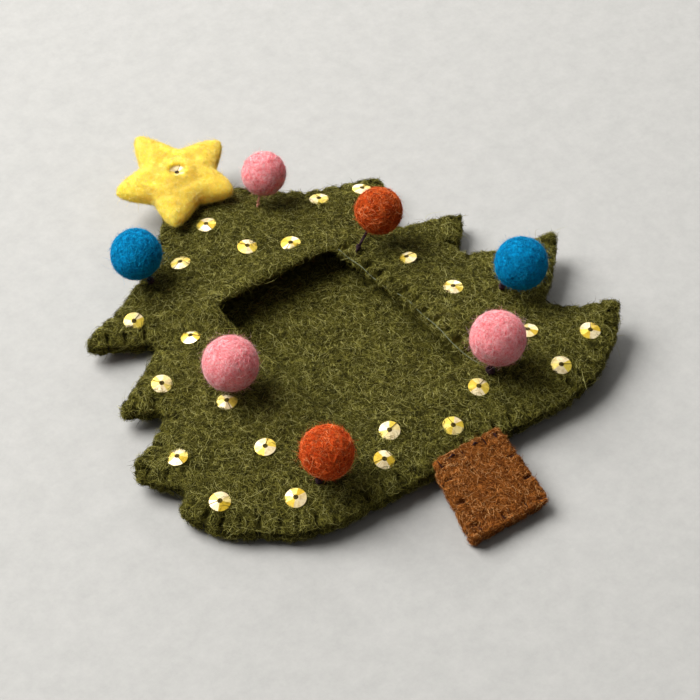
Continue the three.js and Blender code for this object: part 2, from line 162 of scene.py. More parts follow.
def to_segment(points: np.ndarray, start: np.ndarray, end: np.ndarray) -> tuple[np.ndarray, np.ndarray]:
    """How far each point lies from a straight segment, and how far along it, seen from above.

    Args:
        points: The points.
        start: The segment's start.
        end: The segment's end.

    Returns:
        The distances, and the places along the segment from 0 to 1.
    """
    along = (end - start)[:2]
    share = np.clip(((points[:, :2] - start[:2]) @ along) / (along @ along), 0, 1)
    foot = start[:2] + share[:, None] * along
    return np.linalg.norm(points[:, :2] - foot, axis=1), share


def hand_over(piece: bpy.types.Object, body: str, slot: str, *nodes: str) -> bpy.types.Object:
    """Lets a finished piece ride on a body and stand for CAD nodes.

    Args:
        piece: The finished object, in place.
        body: The body that it moves with.
        slot: The record's material slot; not used.
        nodes: The CAD nodes that it replaces.

    Returns:
        The piece.
    """
    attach(piece, body)
    if nodes:
        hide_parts(*nodes)
    LOG.info("%s rides on %s with %d faces", piece.name, body, len(piece.data.polygons))
    return piece


class NodeSheet:
    """A material's nodes, with short ways to add and join them."""

    SOAK = 4.0

    def __init__(self, name: str) -> None:
        """Starts a material that holds one principled shader."""
        self.material = bpy.data.materials.new(name)
        self.material.use_nodes = True
        self.nodes = self.material.node_tree.nodes
        self.links = self.material.node_tree.links
        self.shader = self.nodes["Principled BSDF"]

    def add(self, kind: str, **settings: object) -> bpy.types.Node:
        """A new node with its settings."""
        node = self.nodes.new(kind)
        for name, value in settings.items():
            setattr(node, name, value)
        return node

    def tone(self) -> bpy.types.NodeSocket:
        """The tone that the mesh carries."""
        return self.add("ShaderNodeAttribute", attribute_name="tone").outputs["Fac"]

    def noise(self, size: float, detail: float, roughness: float = 0.5) -> bpy.types.NodeSocket:
        """Noise whose spots are about size millimetres wide."""
        place = self.add("ShaderNodeTexCoord")
        node = self.add("ShaderNodeTexNoise")
        node.inputs["Scale"].default_value = 1 / (size * MM)
        node.inputs["Detail"].default_value = detail
        node.inputs["Roughness"].default_value = roughness
        self.links.new(place.outputs["Object"], node.inputs["Vector"])
        return node.outputs["Fac"]

    def ramp(self, source: bpy.types.NodeSocket, stops: list[tuple[float, Paint]]) -> bpy.types.NodeSocket:
        """The colour at a value, from a row of stops."""
        node = self.add("ShaderNodeValToRGB")
        points = node.color_ramp.elements
        while len(points) < len(stops):
            points.new(0.5)
        for point, (place, paint) in zip(points, stops):
            point.position = place
            point.color = linear(paint)
        self.links.new(source, node.inputs["Fac"])
        return node.outputs["Color"]

    def multiply(self, first: bpy.types.NodeSocket, second: bpy.types.NodeSocket) -> bpy.types.NodeSocket:
        """One colour times another."""
        node = self.add("ShaderNodeMix", data_type="RGBA", blend_type="MULTIPLY")
        node.inputs["Factor"].default_value = 1.0
        self.links.new(first, node.inputs["A"])
        self.links.new(second, node.inputs["B"])
        return node.outputs["Result"]

    def bump(self, source: bpy.types.NodeSocket, strength: float, depth: float) -> None:
        """Raises the surface by a value, with the depth in millimetres."""
        node = self.add("ShaderNodeBump")
        node.inputs["Strength"].default_value = strength
        node.inputs["Distance"].default_value = depth * MM
        self.links.new(source, node.inputs["Height"])
        self.links.new(node.outputs["Normal"], self.shader.inputs["Normal"])

    def colour(self, source: bpy.types.NodeSocket) -> None:
        """Makes a value the shader's base colour."""
        self.links.new(source, self.shader.inputs["Base Color"])

    def set(self, **values: object) -> None:
        """Sets sockets of the shader that are the same all over."""
        for name, value in values.items():
            self.shader.inputs[name.replace("_", " ")].default_value = value

    def glow_through(self, share: float, paint: Paint) -> None:
        """Lets light soak into loose wool, the furthest in the wool's own colour."""
        self.set(Subsurface_Weight=share, Subsurface_Radius=linear(paint)[:3])
        self.set(Subsurface_Scale=self.SOAK * MM)


@dataclass(frozen=True)
class FeltFinish:
    """Matted wool: a body colour mottled at random, whose dark pit tone, showing between the loose fibres, is
    partly painted shade of the gaps.
    """

    name: str
    pit: Paint
    body: Paint
    light: Paint
    glow: float = 0.0
    mottle: float = 1.1
    blotch: float = 9.0
    sheen: float = 0.05
    cloud_dark: Paint = (226, 226, 226)
    cloud_light: Paint = WHITE

    def material(self) -> bpy.types.Material:
        """The finish as a node material."""
        sheet = NodeSheet(self.name)
        fine = sheet.noise(size=self.mottle, detail=4, roughness=0.65)
        # the dark pit stop is random mottle and partly painted shade in the gaps between fibres
        stops = [(0.34, self.pit), (0.52, self.body), (0.72, self.light)]
        blotches = sheet.noise(size=self.blotch, detail=2)
        clouds = sheet.ramp(blotches, [(0.35, self.cloud_dark), (0.65, self.cloud_light)])
        sheet.colour(sheet.multiply(sheet.ramp(fine, stops), clouds))
        sheet.bump(sheet.noise(size=0.4, detail=3), strength=0.6, depth=0.18)
        sheet.set(Roughness=0.95, Sheen_Weight=self.sheen, Sheen_Roughness=0.5)
        sheet.set(Specular_IOR_Level=0.06, Sheen_Tint=linear(self.light))
        sheet.glow_through(self.glow, self.body)
        return sheet.material


@dataclass(frozen=True)
class FibreFinish:
    """Loose wool fibres, each with its own tone between dark and light."""

    name: str
    dark: Paint
    body: Paint
    light: Paint
    pale: Paint
    spot: Paint = (220, 220, 220)

    def material(self) -> bpy.types.Material:
        """The finish as a node material, which reads each fibre's tone."""
        sheet = NodeSheet(self.name)
        stops = [(0.0, self.dark), (0.45, self.body), (0.85, self.light), (1.0, self.pale)]
        spots = sheet.ramp(sheet.noise(size=0.9, detail=2), [(0.3, self.spot), (0.7, WHITE)])
        sheet.colour(sheet.multiply(sheet.ramp(sheet.tone(), stops), spots))
        sheet.set(Roughness=0.85, Specular_IOR_Level=0.08)
        sheet.set(Sheen_Weight=0.04, Sheen_Tint=linear(self.light))
        return sheet.material


@dataclass(frozen=True)
class ThreadFinish:
    """Twisted sewing thread."""

    name: str
    dark: Paint
    light: Paint
    roughness: float = 0.75

    def material(self) -> bpy.types.Material:
        """The finish as a node material."""
        sheet = NodeSheet(self.name)
        twist = sheet.noise(size=0.25, detail=2)
        sheet.colour(sheet.ramp(twist, [(0.35, self.dark), (0.7, self.light)]))
        sheet.bump(twist, strength=0.5, depth=0.06)
        sheet.set(Roughness=self.roughness, Specular_IOR_Level=0.15)
        return sheet.material


@dataclass(frozen=True)
class FilmFinish:
    """Gold film of the cup sequins; by its tone a facet shows gold, or a cream that is painted reflection."""

    name: str
    deep: Paint
    gold: Paint
    painted_glint_cream: Paint
    scuff: Paint = (225, 215, 200)

    def material(self) -> bpy.types.Material:
        """The finish as a node material, which reads each facet's tone."""
        sheet = NodeSheet(self.name)
        # tones from 0.6 up are the cream of the painted reflection
        stops = [(0.0, self.deep), (0.3, self.gold), (0.6, self.painted_glint_cream), (1.0, self.painted_glint_cream)]
        scuffs = sheet.ramp(sheet.noise(size=0.6, detail=3), [(0.3, self.scuff), (0.6, WHITE)])
        sheet.colour(sheet.multiply(sheet.ramp(sheet.tone(), stops), scuffs))
        sheet.bump(sheet.noise(size=0.8, detail=2), strength=0.12, depth=0.08)
        sheet.set(Metallic=0.25, Roughness=0.36, Specular_IOR_Level=0.4)
        sheet.set(Coat_Weight=0.15, Coat_Roughness=0.12)
        return sheet.material


@dataclass(frozen=True)
class FloorFinish:
    """A pale, faintly clouded table top."""

    name: str
    low: Paint
    high: Paint

    def material(self) -> bpy.types.Material:
        """The finish as a node material."""
        sheet = NodeSheet(self.name)
        clouds = sheet.noise(size=5, detail=10, roughness=0.85)
        sheet.colour(sheet.ramp(clouds, [(0.3, self.low), (0.7, self.high)]))
        sheet.bump(sheet.noise(size=2.2, detail=5, roughness=0.7), strength=0.12, depth=0.2)
        sheet.set(Roughness=0.8, Specular_IOR_Level=0.25)
        return sheet.material


class Wool(Enum):
    """The wools that the soft pieces are made of, with felt and fibre paints and the record's slot."""

    GREEN = (
        "green_felt", (13, 13, 4), (74, 70, 25), (118, 112, 46),
        (29, 28, 8), (157, 150, 66), (204, 198, 122),
    )
    BROWN = (
        "brown_felt", (44, 19, 5), (132, 73, 26), (182, 112, 50),
        (68, 31, 8), (216, 136, 62), (248, 194, 128),
    )
    YELLOW = (
        "yellow_wool", (253, 216, 80), (255, 226, 96), (255, 234, 116),
        (253, 220, 88), (255, 234, 122), (255, 244, 176), 1.0,
    )
    BLUE = (
        "blue_wool", (1, 80, 128), (1, 133, 186), (2, 156, 206),
        (1, 100, 154), (2, 160, 210), (34, 180, 224), 0.0, 0.6,
    )
    PINK = (
        "pink_wool", (236, 96, 106), (254, 166, 170), (255, 196, 196),
        (232, 104, 114), (254, 206, 204), (255, 234, 230), 0.8, 0.5,
    )
    RUST = (
        "rust_wool", (120, 30, 6), (212, 82, 26), (236, 114, 50),
        (146, 40, 10), (240, 118, 50), (250, 172, 116),
    )
    ORANGE = (
        "orange_wool", (130, 28, 4), (226, 82, 24), (244, 120, 54),
        (150, 38, 8), (248, 122, 54), (252, 178, 122),
    )

    def __init__(
        self,
        slot: str,
        pit: Paint,
        body: Paint,
        light: Paint,
        dark: Paint,
        hair: Paint,
        pale: Paint,
        glow: float = 0.0,
        mottle: float = 1.1,
    ) -> None:
        """Keeps the slot and the two finishes."""
        self.slot = slot
        self.felt = FeltFinish(f"{slot}_matted", pit, body, light, glow, mottle)
        self.hair = FibreFinish(f"{slot}_fibres", dark, body, hair, pale)

    @cache
    def matted(self) -> bpy.types.Material:
        """The material of the wool's matted surface."""
        return self.felt.material()

    @cache
    def fibres(self) -> bpy.types.Material:
        """The material of the wool's loose fibres."""
        return self.hair.material()


class Thread(Enum):
    """The sewing threads, with their record slot and paints."""

    GREEN = ("green_thread", (14, 14, 5), (34, 33, 13))
    BROWN = ("brown_thread", (26, 10, 8), (58, 28, 20))
    PLUM = ("plum_thread", (24, 12, 16), (66, 42, 50))
    BLUSH = ("plum_thread", (164, 108, 84), (214, 160, 130))
    PALE = ("green_thread", (94, 100, 74), (134, 140, 112))
    OLIVE = ("green_thread", (40, 32, 8), (104, 86, 30))

    def __init__(self, slot: str, dark: Paint, light: Paint) -> None:
        """Keeps the slot and the finish."""
        self.slot = slot
        self.finish = ThreadFinish(f"thread_{self.name.lower()}", dark, light)

    @cache
    def material(self) -> bpy.types.Material:
        """The thread's material."""
        return self.finish.material()


@dataclass
class Skin:
    """A surface that fibres grow on."""

    points: np.ndarray
    normals: np.ndarray
    triangles: np.ndarray
    density: np.ndarray

    @classmethod
    def of(cls, piece: bpy.types.Object) -> "Skin":
        """The whole surface of an object."""
        triangles = read_triangles(piece.data)
        return cls(read_points(piece.data), read_normals(piece.data), triangles, np.ones(len(triangles)))

    def middles(self) -> np.ndarray:
        """The middle of each triangle."""
        return self.points[self.triangles].mean(axis=1)

    def facing(self) -> np.ndarray:
        """The direction that each triangle faces."""
        return unit(self.normals[self.triangles].mean(axis=1))

    def areas(self) -> np.ndarray:
        """The area of each triangle."""
        a, b, c = (self.points[self.triangles[:, k]] for k in range(3))
        return np.linalg.norm(np.cross(b - a, c - a), axis=1) / 2


@dataclass(frozen=True)
class FibreCoat:
    """Loose fibres that lie on a surface in bowed arcs, with some that stand off it."""

    per_mm2: float
    length: float
    width: float
    height: float
    curl: float = 1.6
    stand: float = 0.1
    tone_power: float = 1.0

    STATIONS = np.array([-0.5, -0.25, 0.0, 0.25, 0.5])
    TABLE = 0.04
    FLATNESS = 0.5
    PARTED = 0.45
    LENGTH_SPREAD = 0.38
    WAVE = 0.45
    BOW = 3.4
    THINNEST = 0.7
    THICKEST = 1.3
    GIRTHS = np.array([0.75, 1.0, 0.75])
    SIDES = 3
    POINTS = 11
    MOST = 11_000

    def paths(self, skin: Skin, draw: np.random.Generator) -> tuple[np.ndarray, np.ndarray]:
        """Draws the fibres' centre lines.

        Args:
            skin: The surface that they grow on.
            draw: The source of random numbers.

        Returns:
            Five points for each fibre, and the surface's direction at its middle.
        """
        weight = skin.areas() * skin.density
        count = int(self.per_mm2 * weight.sum() / MM**2)
        chosen = draw.choice(len(weight), count, p=weight / weight.sum())
        shares = draw.random((count, 2))
        over = shares.sum(axis=1) > 1
        shares[over] = 1 - shares[over]
        mix = np.column_stack([1 - shares.sum(axis=1), shares])[:, :, None]
        root = (skin.points[skin.triangles[chosen]] * mix).sum(axis=1)
        up = unit((skin.normals[skin.triangles[chosen]] * mix).sum(axis=1))
        east = unit(np.cross(up, unit(draw.normal(size=(count, 3)))))
        side = np.cross(up, east)
        length = self.length * MM * np.exp(draw.normal(0, self.LENGTH_SPREAD, count))
        curl, wave = draw.normal(0, self.curl, count), draw.normal(0, self.WAVE, count)
        phase = draw.uniform(0, 2 * np.pi, count)
        rise = self.height * MM * draw.random(count)
        tilt = self.stand * draw.random(count) ** 2
        u = self.STATIONS[None, :]
        half = (u[:, 1:] + u[:, :-1]) / 2
        heading = curl[:, None] * half + wave[:, None] * np.sin(2 * np.pi * half + phase[:, None])
        ahead, across = self.walk(np.cos(heading), length), self.walk(np.sin(heading), length)
        above = rise[:, None] * (1 - self.BOW * u**2) + (tilt * length)[:, None] * (u + 0.5)
        path = root[:, None] + ahead[:, :, None] * east[:, None] + across[:, :, None] * side[:, None]
        path += above[:, :, None] * up[:, None]
        path[:, :, 2] = np.maximum(path[:, :, 2], self.TABLE * MM)
        return path, up

    @staticmethod
    def walk(steps: np.ndarray, length: np.ndarray) -> np.ndarray:
        """The places that even steps lead to, about their middle."""
        places = np.cumsum(steps, axis=1) * length[:, None] / steps.shape[1]
        places = np.column_stack([np.zeros(len(places)), places])
        return places - places.mean(axis=1, keepdims=True)

    def grow(
        self,
        name: str,
        skin: Skin,
        wool: Wool,
        body: str,
        seed: int,
        parting: Callable[[np.ndarray], np.ndarray] | None = None,
    ) -> None:
        """Covers a surface with fibres, in pieces that each hold no more of them than one piece may.

        Args:
            name: The first part of the pieces' names.
            skin: The surface.
            wool: What the fibres are made of.
            body: The body that they move with.
            seed: What the random draws start from.
            parting: How close places are to a stitch, from 0 to 1, which fibres keep out of.
        """
        draw = np.random.default_rng(seed)
        path, up = self.paths(skin, draw)
        if parting:
            clear = parting(path.reshape(-1, 3)).reshape(len(path), -1).max(axis=1) < self.PARTED
            path, up = path[clear], up[clear]
        count = len(path)
        girth = self.width * MM / 2 * draw.uniform(self.THINNEST, self.THICKEST, count)
        tone = draw.random(count) ** self.tone_power
        ahead = unit(path[:, 2:] - path[:, :-2])
        side = unit(np.cross(ahead, up[:, None]))
        over = np.cross(side, ahead)
        turns = 2 * np.pi * np.arange(self.SIDES) / self.SIDES + np.pi / 2
        ring = np.cos(turns)[:, None] * side[:, :, None]
        ring += self.FLATNESS * np.sin(turns)[:, None] * over[:, :, None]
        ring *= (girth[:, None] * self.GIRTHS)[:, :, None, None]
        rings = (path[:, 1:-1, None] + ring).reshape(count, -1, 3)
        points = np.concatenate([path[:, :1], rings, path[:, -1:]], axis=1)
        parts = max(1, math.ceil(count / self.MOST))
        for part, rows in enumerate(np.array_split(np.arange(count), parts)):
            label = name if parts == 1 else f"{name}_{part + 1}"
            piece = self.strands(label, points[rows], tone[rows], wool.fibres())
            hand_over(piece, body, wool.slot)

    def strands(
        self, name: str, points: np.ndarray, tone: np.ndarray, material: bpy.types.Material
    ) -> bpy.types.Object:
        """One piece of closed, pointed strands.

        Args:
            name: The piece's name.
            points: The eleven points of each strand: a tip, three rings of three and a tip.
            tone: Each strand's tone.
            material: The strands' material.

        Returns:
            The piece.
        """
        ends = [(0, 2, 1), (0, 3, 2), (0, 1, 3)]
        turns = [(k, (k + 1) % 3) for k in range(3)]
        sides = [(r + a, r + b, r + 3 + b, r + 3 + a) for r in (1, 4) for a, b in turns]
        tails = [(10, 7, 8), (10, 8, 9), (10, 9, 7)]
        faces = ends + sides + tails
        corners = np.concatenate([np.array(face) for face in faces])
        starts = np.cumsum([0] + [len(face) for face in faces])[:-1]
        count = len(points)
        shift = np.arange(count)[:, None]
        mesh = bpy.data.meshes.new(name)
        mesh.vertices.add(count * self.POINTS)
        mesh.loops.add(count * len(corners))
        mesh.polygons.add(count * len(faces))
        mesh.vertices.foreach_set("co", points.astype(np.float32).ravel())
        mesh.loops.foreach_set("vertex_index", (corners + shift * self.POINTS).ravel().astype(np.int32))
        mesh.polygons.foreach_set("loop_start", (starts + shift * len(corners)).ravel().astype(np.int32))
        shade_smooth(mesh)
        mesh.attributes.new("tone", "FLOAT", "POINT")
        mesh.attributes["tone"].data.foreach_set("value", np.repeat(tone, self.POINTS).astype(np.float32))
        self.lay_map(mesh, count, corners)
        mesh.update(calc_edges=True)
        mesh.validate()
        mesh.materials.append(material)
        return add_object(name, mesh)

    def lay_map(self, mesh: bpy.types.Mesh, count: int, corners: np.ndarray) -> None:
        """Gives each strand a small square of its own in a map named OFBake."""
        along = np.array([0.1] + [0.3] * 3 + [0.5] * 3 + [0.7] * 3 + [0.9])
        around = np.array([0.5] + [0.2, 0.5, 0.8] * 3 + [0.5])
        cells = math.ceil(math.sqrt(count))
        cell = np.column_stack([np.arange(count) % cells, np.arange(count) // cells])
        inside = np.column_stack([along, around])[corners]
        places = (cell[:, None] + inside[None]) / cells
        mesh.uv_layers.new(name="OFBake").uv.foreach_set("vector", places.astype(np.float32).ravel())


@dataclass
class Tube:
    """Round threads that are collected into one piece."""

    sides: int = 6
    points: list[np.ndarray] = field(default_factory=list)
    faces: list[tuple[int, ...]] = field(default_factory=list)
    count: int = 0

    ASKEW = np.array([0.3, 0.5, 0.81])

    def run(self, path: np.ndarray, diameter: float) -> None:
        """Adds a closed tube along a path in metres, with the diameter in millimetres."""
        ahead = unit(np.gradient(path, axis=0))
        side = unit(np.cross(ahead[0], unit(self.ASKEW)))
        turns = 2 * np.pi * np.arange(self.sides) / self.sides
        first = self.count
        for place, forward in zip(path, ahead):
            side = unit(side - (side @ forward) * forward)
            over = np.cross(forward, side)
            ring = np.cos(turns)[:, None] * side + np.sin(turns)[:, None] * over
            self.points.append(place + ring * diameter * MM / 2)
        for row in range(len(path) - 1):
            for k in range(self.sides):
                a, b = first + row * self.sides + k, first + row * self.sides + (k + 1) % self.sides
                self.faces.append((a, b, b + self.sides, a + self.sides))
        self.count += len(path) * self.sides
        self.faces.append(tuple(range(first + self.sides - 1, first - 1, -1)))
        self.faces.append(tuple(range(self.count - self.sides, self.count)))

    def piece(self, name: str, material: bpy.types.Material) -> bpy.types.Object:
        """The collected threads as one object."""
        mesh = bpy.data.meshes.new(name)
        mesh.from_pydata(np.concatenate(self.points).tolist(), [], self.faces)
        shade_smooth(mesh)
        mesh.materials.append(material)
        return add_object(name, mesh)


def smooth_path(places: np.ndarray, steps: int) -> np.ndarray:
    """A smooth curve through the places, with so many steps between each two."""
    padded = np.concatenate([2 * places[:1] - places[1:2], places, 2 * places[-1:] - places[-2:-1]])
    t = (np.arange(steps) / steps)[:, None]
    spans = []
    for a, b, c, d in zip(padded, padded[1:], padded[2:], padded[3:]):
        bend = (2 * a - 5 * b + 4 * c - d) * t**2 + (3 * b - a - 3 * c + d) * t**3
        spans.append(b + (c - a) * t / 2 + bend / 2)
    return np.concatenate([*spans, places[-1:]])


@dataclass
class Rim:
    """The edge between the top of a felt layer and its cut side, as a loop that runs anticlockwise."""

    points: np.ndarray

    STEEP = 0.5
    WELD = 1e-6
    FINE = 0.7
    LOOK = 0.6

    @classmethod
    def all_of(cls, node: str) -> list["Rim"]:
        """The rims of a CAD node, the longest first."""
        work = bmesh.new()
        work.from_mesh(frame["nodes"][node].data)
        bmesh.ops.remove_doubles(work, verts=work.verts, dist=cls.WELD)
        work.normal_update()
        links: dict[int, list[int]] = {}
        work.verts.ensure_lookup_table()
        for edge in work.edges:
            heights = sorted(face.normal.z for face in edge.link_faces)
            if len(heights) == 2 and heights[1] > cls.STEEP > abs(heights[0]):
                a, b = (vert.index for vert in edge.verts)
                links.setdefault(a, []).append(b)
                links.setdefault(b, []).append(a)
        loops = []
        while links:
            loop = [next(iter(links))]
            while links.get(loop[-1]):
                here = loop[-1]
                after = links[here].pop()
                links[after].remove(here)
                loop.append(after)
            for index in loop:
                links.pop(index, None)
            loops.append(cls.ordered(np.array([work.verts[index].co for index in loop[:-1]])))
        work.free()
        return sorted(loops, key=lambda rim: -rim.length())

    @classmethod
    def ordered(cls, points: np.ndarray) -> "Rim":
        """A rim through the points, turned round where they run clockwise."""
        after = np.roll(points, -1, axis=0)
        turn = (points[:, 0] * after[:, 1] - after[:, 0] * points[:, 1]).sum()
        return cls(points if turn > 0 else points[::-1])

    def length(self) -> float:
        """The length of the loop."""
        return float(np.linalg.norm(np.roll(self.points, -1, axis=0) - self.points, axis=1).sum())

    def area(self) -> float:
        """The area that the loop encloses, seen from above."""
        after = np.roll(self.points, -1, axis=0)
        return float((self.points[:, 0] * after[:, 1] - after[:, 0] * self.points[:, 1]).sum() / 2)

    def corners(self) -> tuple[np.ndarray, np.ndarray]:
        """The low and high corners of the box round the loop."""
        return self.points.min(axis=0), self.points.max(axis=0)

    def distance(self, places: np.ndarray) -> np.ndarray:
        """How far each place lies from the rim, seen from above."""
        nearest = np.full(len(places), np.inf)
        for point in self.spaced(self.FINE)[0]:
            nearest = np.minimum(nearest, np.hypot(places[:, 0] - point[0], places[:, 1] - point[1]))
        return nearest

    def straight_at(self, places: np.ndarray, reach: float, least: float) -> np.ndarray:
        """Which places have no corner of the rim near them.

        Args:
            places: Places on the rim.
            reach: How near a corner counts, in millimetres.
            least: The least cosine between two outward directions that isn't a corner.

        Returns:
            True for each place away from corners.
        """
        fine, out = self.spaced(self.FINE)
        near = [out[np.linalg.norm(fine - place, axis=1) < reach * MM] for place in places]
        return np.array([(ways @ ways.T).min() > least for ways in near])

    def spaced(self, pitch: float) -> tuple[np.ndarray, np.ndarray]:
        """Places along the rim.

        Args:
            pitch: About how far apart they are, in millimetres.

        Returns:
            The places, and the direction out of the loop at each.
        """
        closed = np.concatenate([self.points, self.points[:1]])
        run = np.concatenate([[0], np.cumsum(np.linalg.norm(np.diff(closed, axis=0), axis=1))])
        count = round(run[-1] / (pitch * MM))
        at = np.arange(count) * run[-1] / count
        places = np.column_stack([np.interp(at, run, closed[:, k]) for k in range(3)])
        reach = self.LOOK * MM
        ahead, behind = (at + reach) % run[-1], (at - reach) % run[-1]
        along = np.column_stack(
            [np.interp(ahead, run, closed[:, k]) - np.interp(behind, run, closed[:, k]) for k in range(2)]
        )
        out = unit(np.column_stack([along[:, 1], -along[:, 0], np.zeros(count)]))
        return places, out


@dataclass
class WhipStitches:
    """Stitches that bind two felt layers over their edge."""

    places: np.ndarray
    out: np.ndarray
    inset: float
    diameter: float
    seed: int
    at_rim: float = 1.0

    BURIED = 0.1
    SLACKEST = 0.5
    START_DEPTH = 1.0
    END_DEPTH = 0.6
    HALFWAY = 0.5
    SLANT = 0.4

    def holes(self) -> np.ndarray:
        """Where the needle went through."""
        return self.places - self.out * self.inset * MM

    def held(self, reach: float) -> list[tuple[np.ndarray, np.ndarray, float]]:
        """What the stitches hold: a segment from hole to rim for each, with its reach in millimetres."""
        return [(hole, place, reach) for hole, place in zip(self.holes(), self.places)]

    def nearness(self, points: np.ndarray, width: float) -> np.ndarray:
        """1 at a stitch, falling to 0 at the width, in millimetres, to its sides."""
        close = np.zeros(len(points))
        pulls = np.random.default_rng(self.seed).uniform(self.SLACKEST, 1.0, len(self.places))
        for place, hole, out, pull in zip(self.places, self.holes(), self.out, pulls):
            apart = np.abs(points[:, :2] - place[:2]).max(axis=1)
            near = np.flatnonzero(apart < (self.inset + 2 * width) * MM)
            aside, along = to_segment(points[near], hole, place + out * MM)
            share = fade(aside, width * MM) * (1 - (1 - self.at_rim) * along)
            close[near] = np.maximum(close[near], share * pull)
        return close

    def sew(self, tube: Tube, top: "Ground", bottom: "Ground", upper: float, lower: float) -> None:
        """Adds the thread, which runs over the edge at each stitch and on to the next hole below.

        Args:
            tube: What collects the thread.
            top: The upper layer's surface.
            bottom: The lower layer's surface.
            upper: How far the middle of the upper layer's side is above the rim, in millimetres.
            lower: How far the middle of the lower layer's side is above the rim, in millimetres.
        """
        afters = np.roll(self.places, -1, axis=0), np.roll(self.out, -1, axis=0)
        for place, out, after, out_after in zip(self.places, self.out, *afters):
            hole, far = place - out * self.inset * MM, place - out * self.HALFWAY * self.inset * MM
            low = place - self.HALFWAY * self.inset * MM * out + self.SLANT * (after - place)
            next_hole = after - out_after * self.inset * MM
            above = top.beside(place + UP * upper * MM, out)
            below = bottom.beside(place + UP * lower * MM, out)
            if above is None or below is None:
                continue
            path = [
                top.over(hole) - UP * self.START_DEPTH * MM,
                top.over(hole) - UP * self.BURIED * MM,
                top.over(far) - UP * self.BURIED * MM,
                above - out * self.BURIED * MM,
                below - out * self.BURIED * MM,
                bottom.under(low) + UP * self.BURIED * MM,
                bottom.under(next_hole) + UP * self.END_DEPTH * MM,
            ]
            smooth = smooth_path(np.array(path), 3)
            smooth[:, 2] = np.maximum(smooth[:, 2], self.diameter * MM)
            tube.run(smooth, self.diameter)


@dataclass(frozen=True)
class Hem:
    """How a felt edge rolls between stitches that draw it in, and meets the layer below."""

    groove: float
    width: float
    bulge: float
    roll: float
    reach: float
    at_side: float = 1.0
    fill: float = 0.0
    draw: float = 0.0

    def shape(
        self, points: np.ndarray, normals: np.ndarray, rim: Rim, stitches: WhipStitches, face: int = 1
    ) -> np.ndarray:
        """Rolls and draws in a layer's edge.

        Args:
            points: The layer's points.
            normals: The direction out of the felt at each.
            rim: The edge.
            stitches: The stitches over it.
            face: 1 where the top is the layer's outer side, and -1 where its underside is.

        Returns:
            The moved points.
        """
        close = stitches.nearness(points, self.width)
        by_rim = fade(rim.distance(points), self.reach * MM)
        outer, inner = np.clip(face * normals[:, 2], 0, 1), np.clip(-face * normals[:, 2], 0, 1)
        groove = self.groove * (self.at_side + (1 - self.at_side) * outer)
        push = (self.bulge * by_rim * (1 - close) - groove * close) * (1 - inner) * MM
        moved = points + normals * push[:, None]
        met = np.maximum(self.fill * by_rim, self.draw * close)
        moved[:, 2] -= face * MM * (self.roll * by_rim**2 * outer + met * inner)
        return moved


class Ground:
    """A surface that things are set down on, found by rays from above or below."""

    FAR = 0.05
    NEAR = 0.0016

    def __init__(self, mesh: bpy.types.Mesh) -> None:
        """Keeps the mesh's triangles for the rays."""
        self.tree = BVHTree.FromPolygons(read_points(mesh).tolist(), read_triangles(mesh).tolist())

    def over(self, place: np.ndarray) -> np.ndarray:
        """The highest point of the surface at a place, or the place itself where there is none."""
        return self.hit(place, UP)

    def under(self, place: np.ndarray) -> np.ndarray:
        """The lowest point of the surface at a place, or the place itself where there is none."""
        return self.hit(place, -UP)

    def beside(self, place: np.ndarray, out: np.ndarray) -> np.ndarray | None:
        """The outermost point of the surface in a direction close to a place, or None."""
        found = self.tree.ray_cast(Vector(place + out * self.NEAR), Vector(-out), 2 * self.NEAR)[0]
        return None if found is None else np.array(found)

    def hit(self, place: np.ndarray, out: np.ndarray) -> np.ndarray:
        """Where a ray that comes from far out meets the surface, or the place itself."""
        found = self.tree.ray_cast(Vector(place + out * self.FAR), Vector(-out))[0]
        return np.array(place if found is None else found)


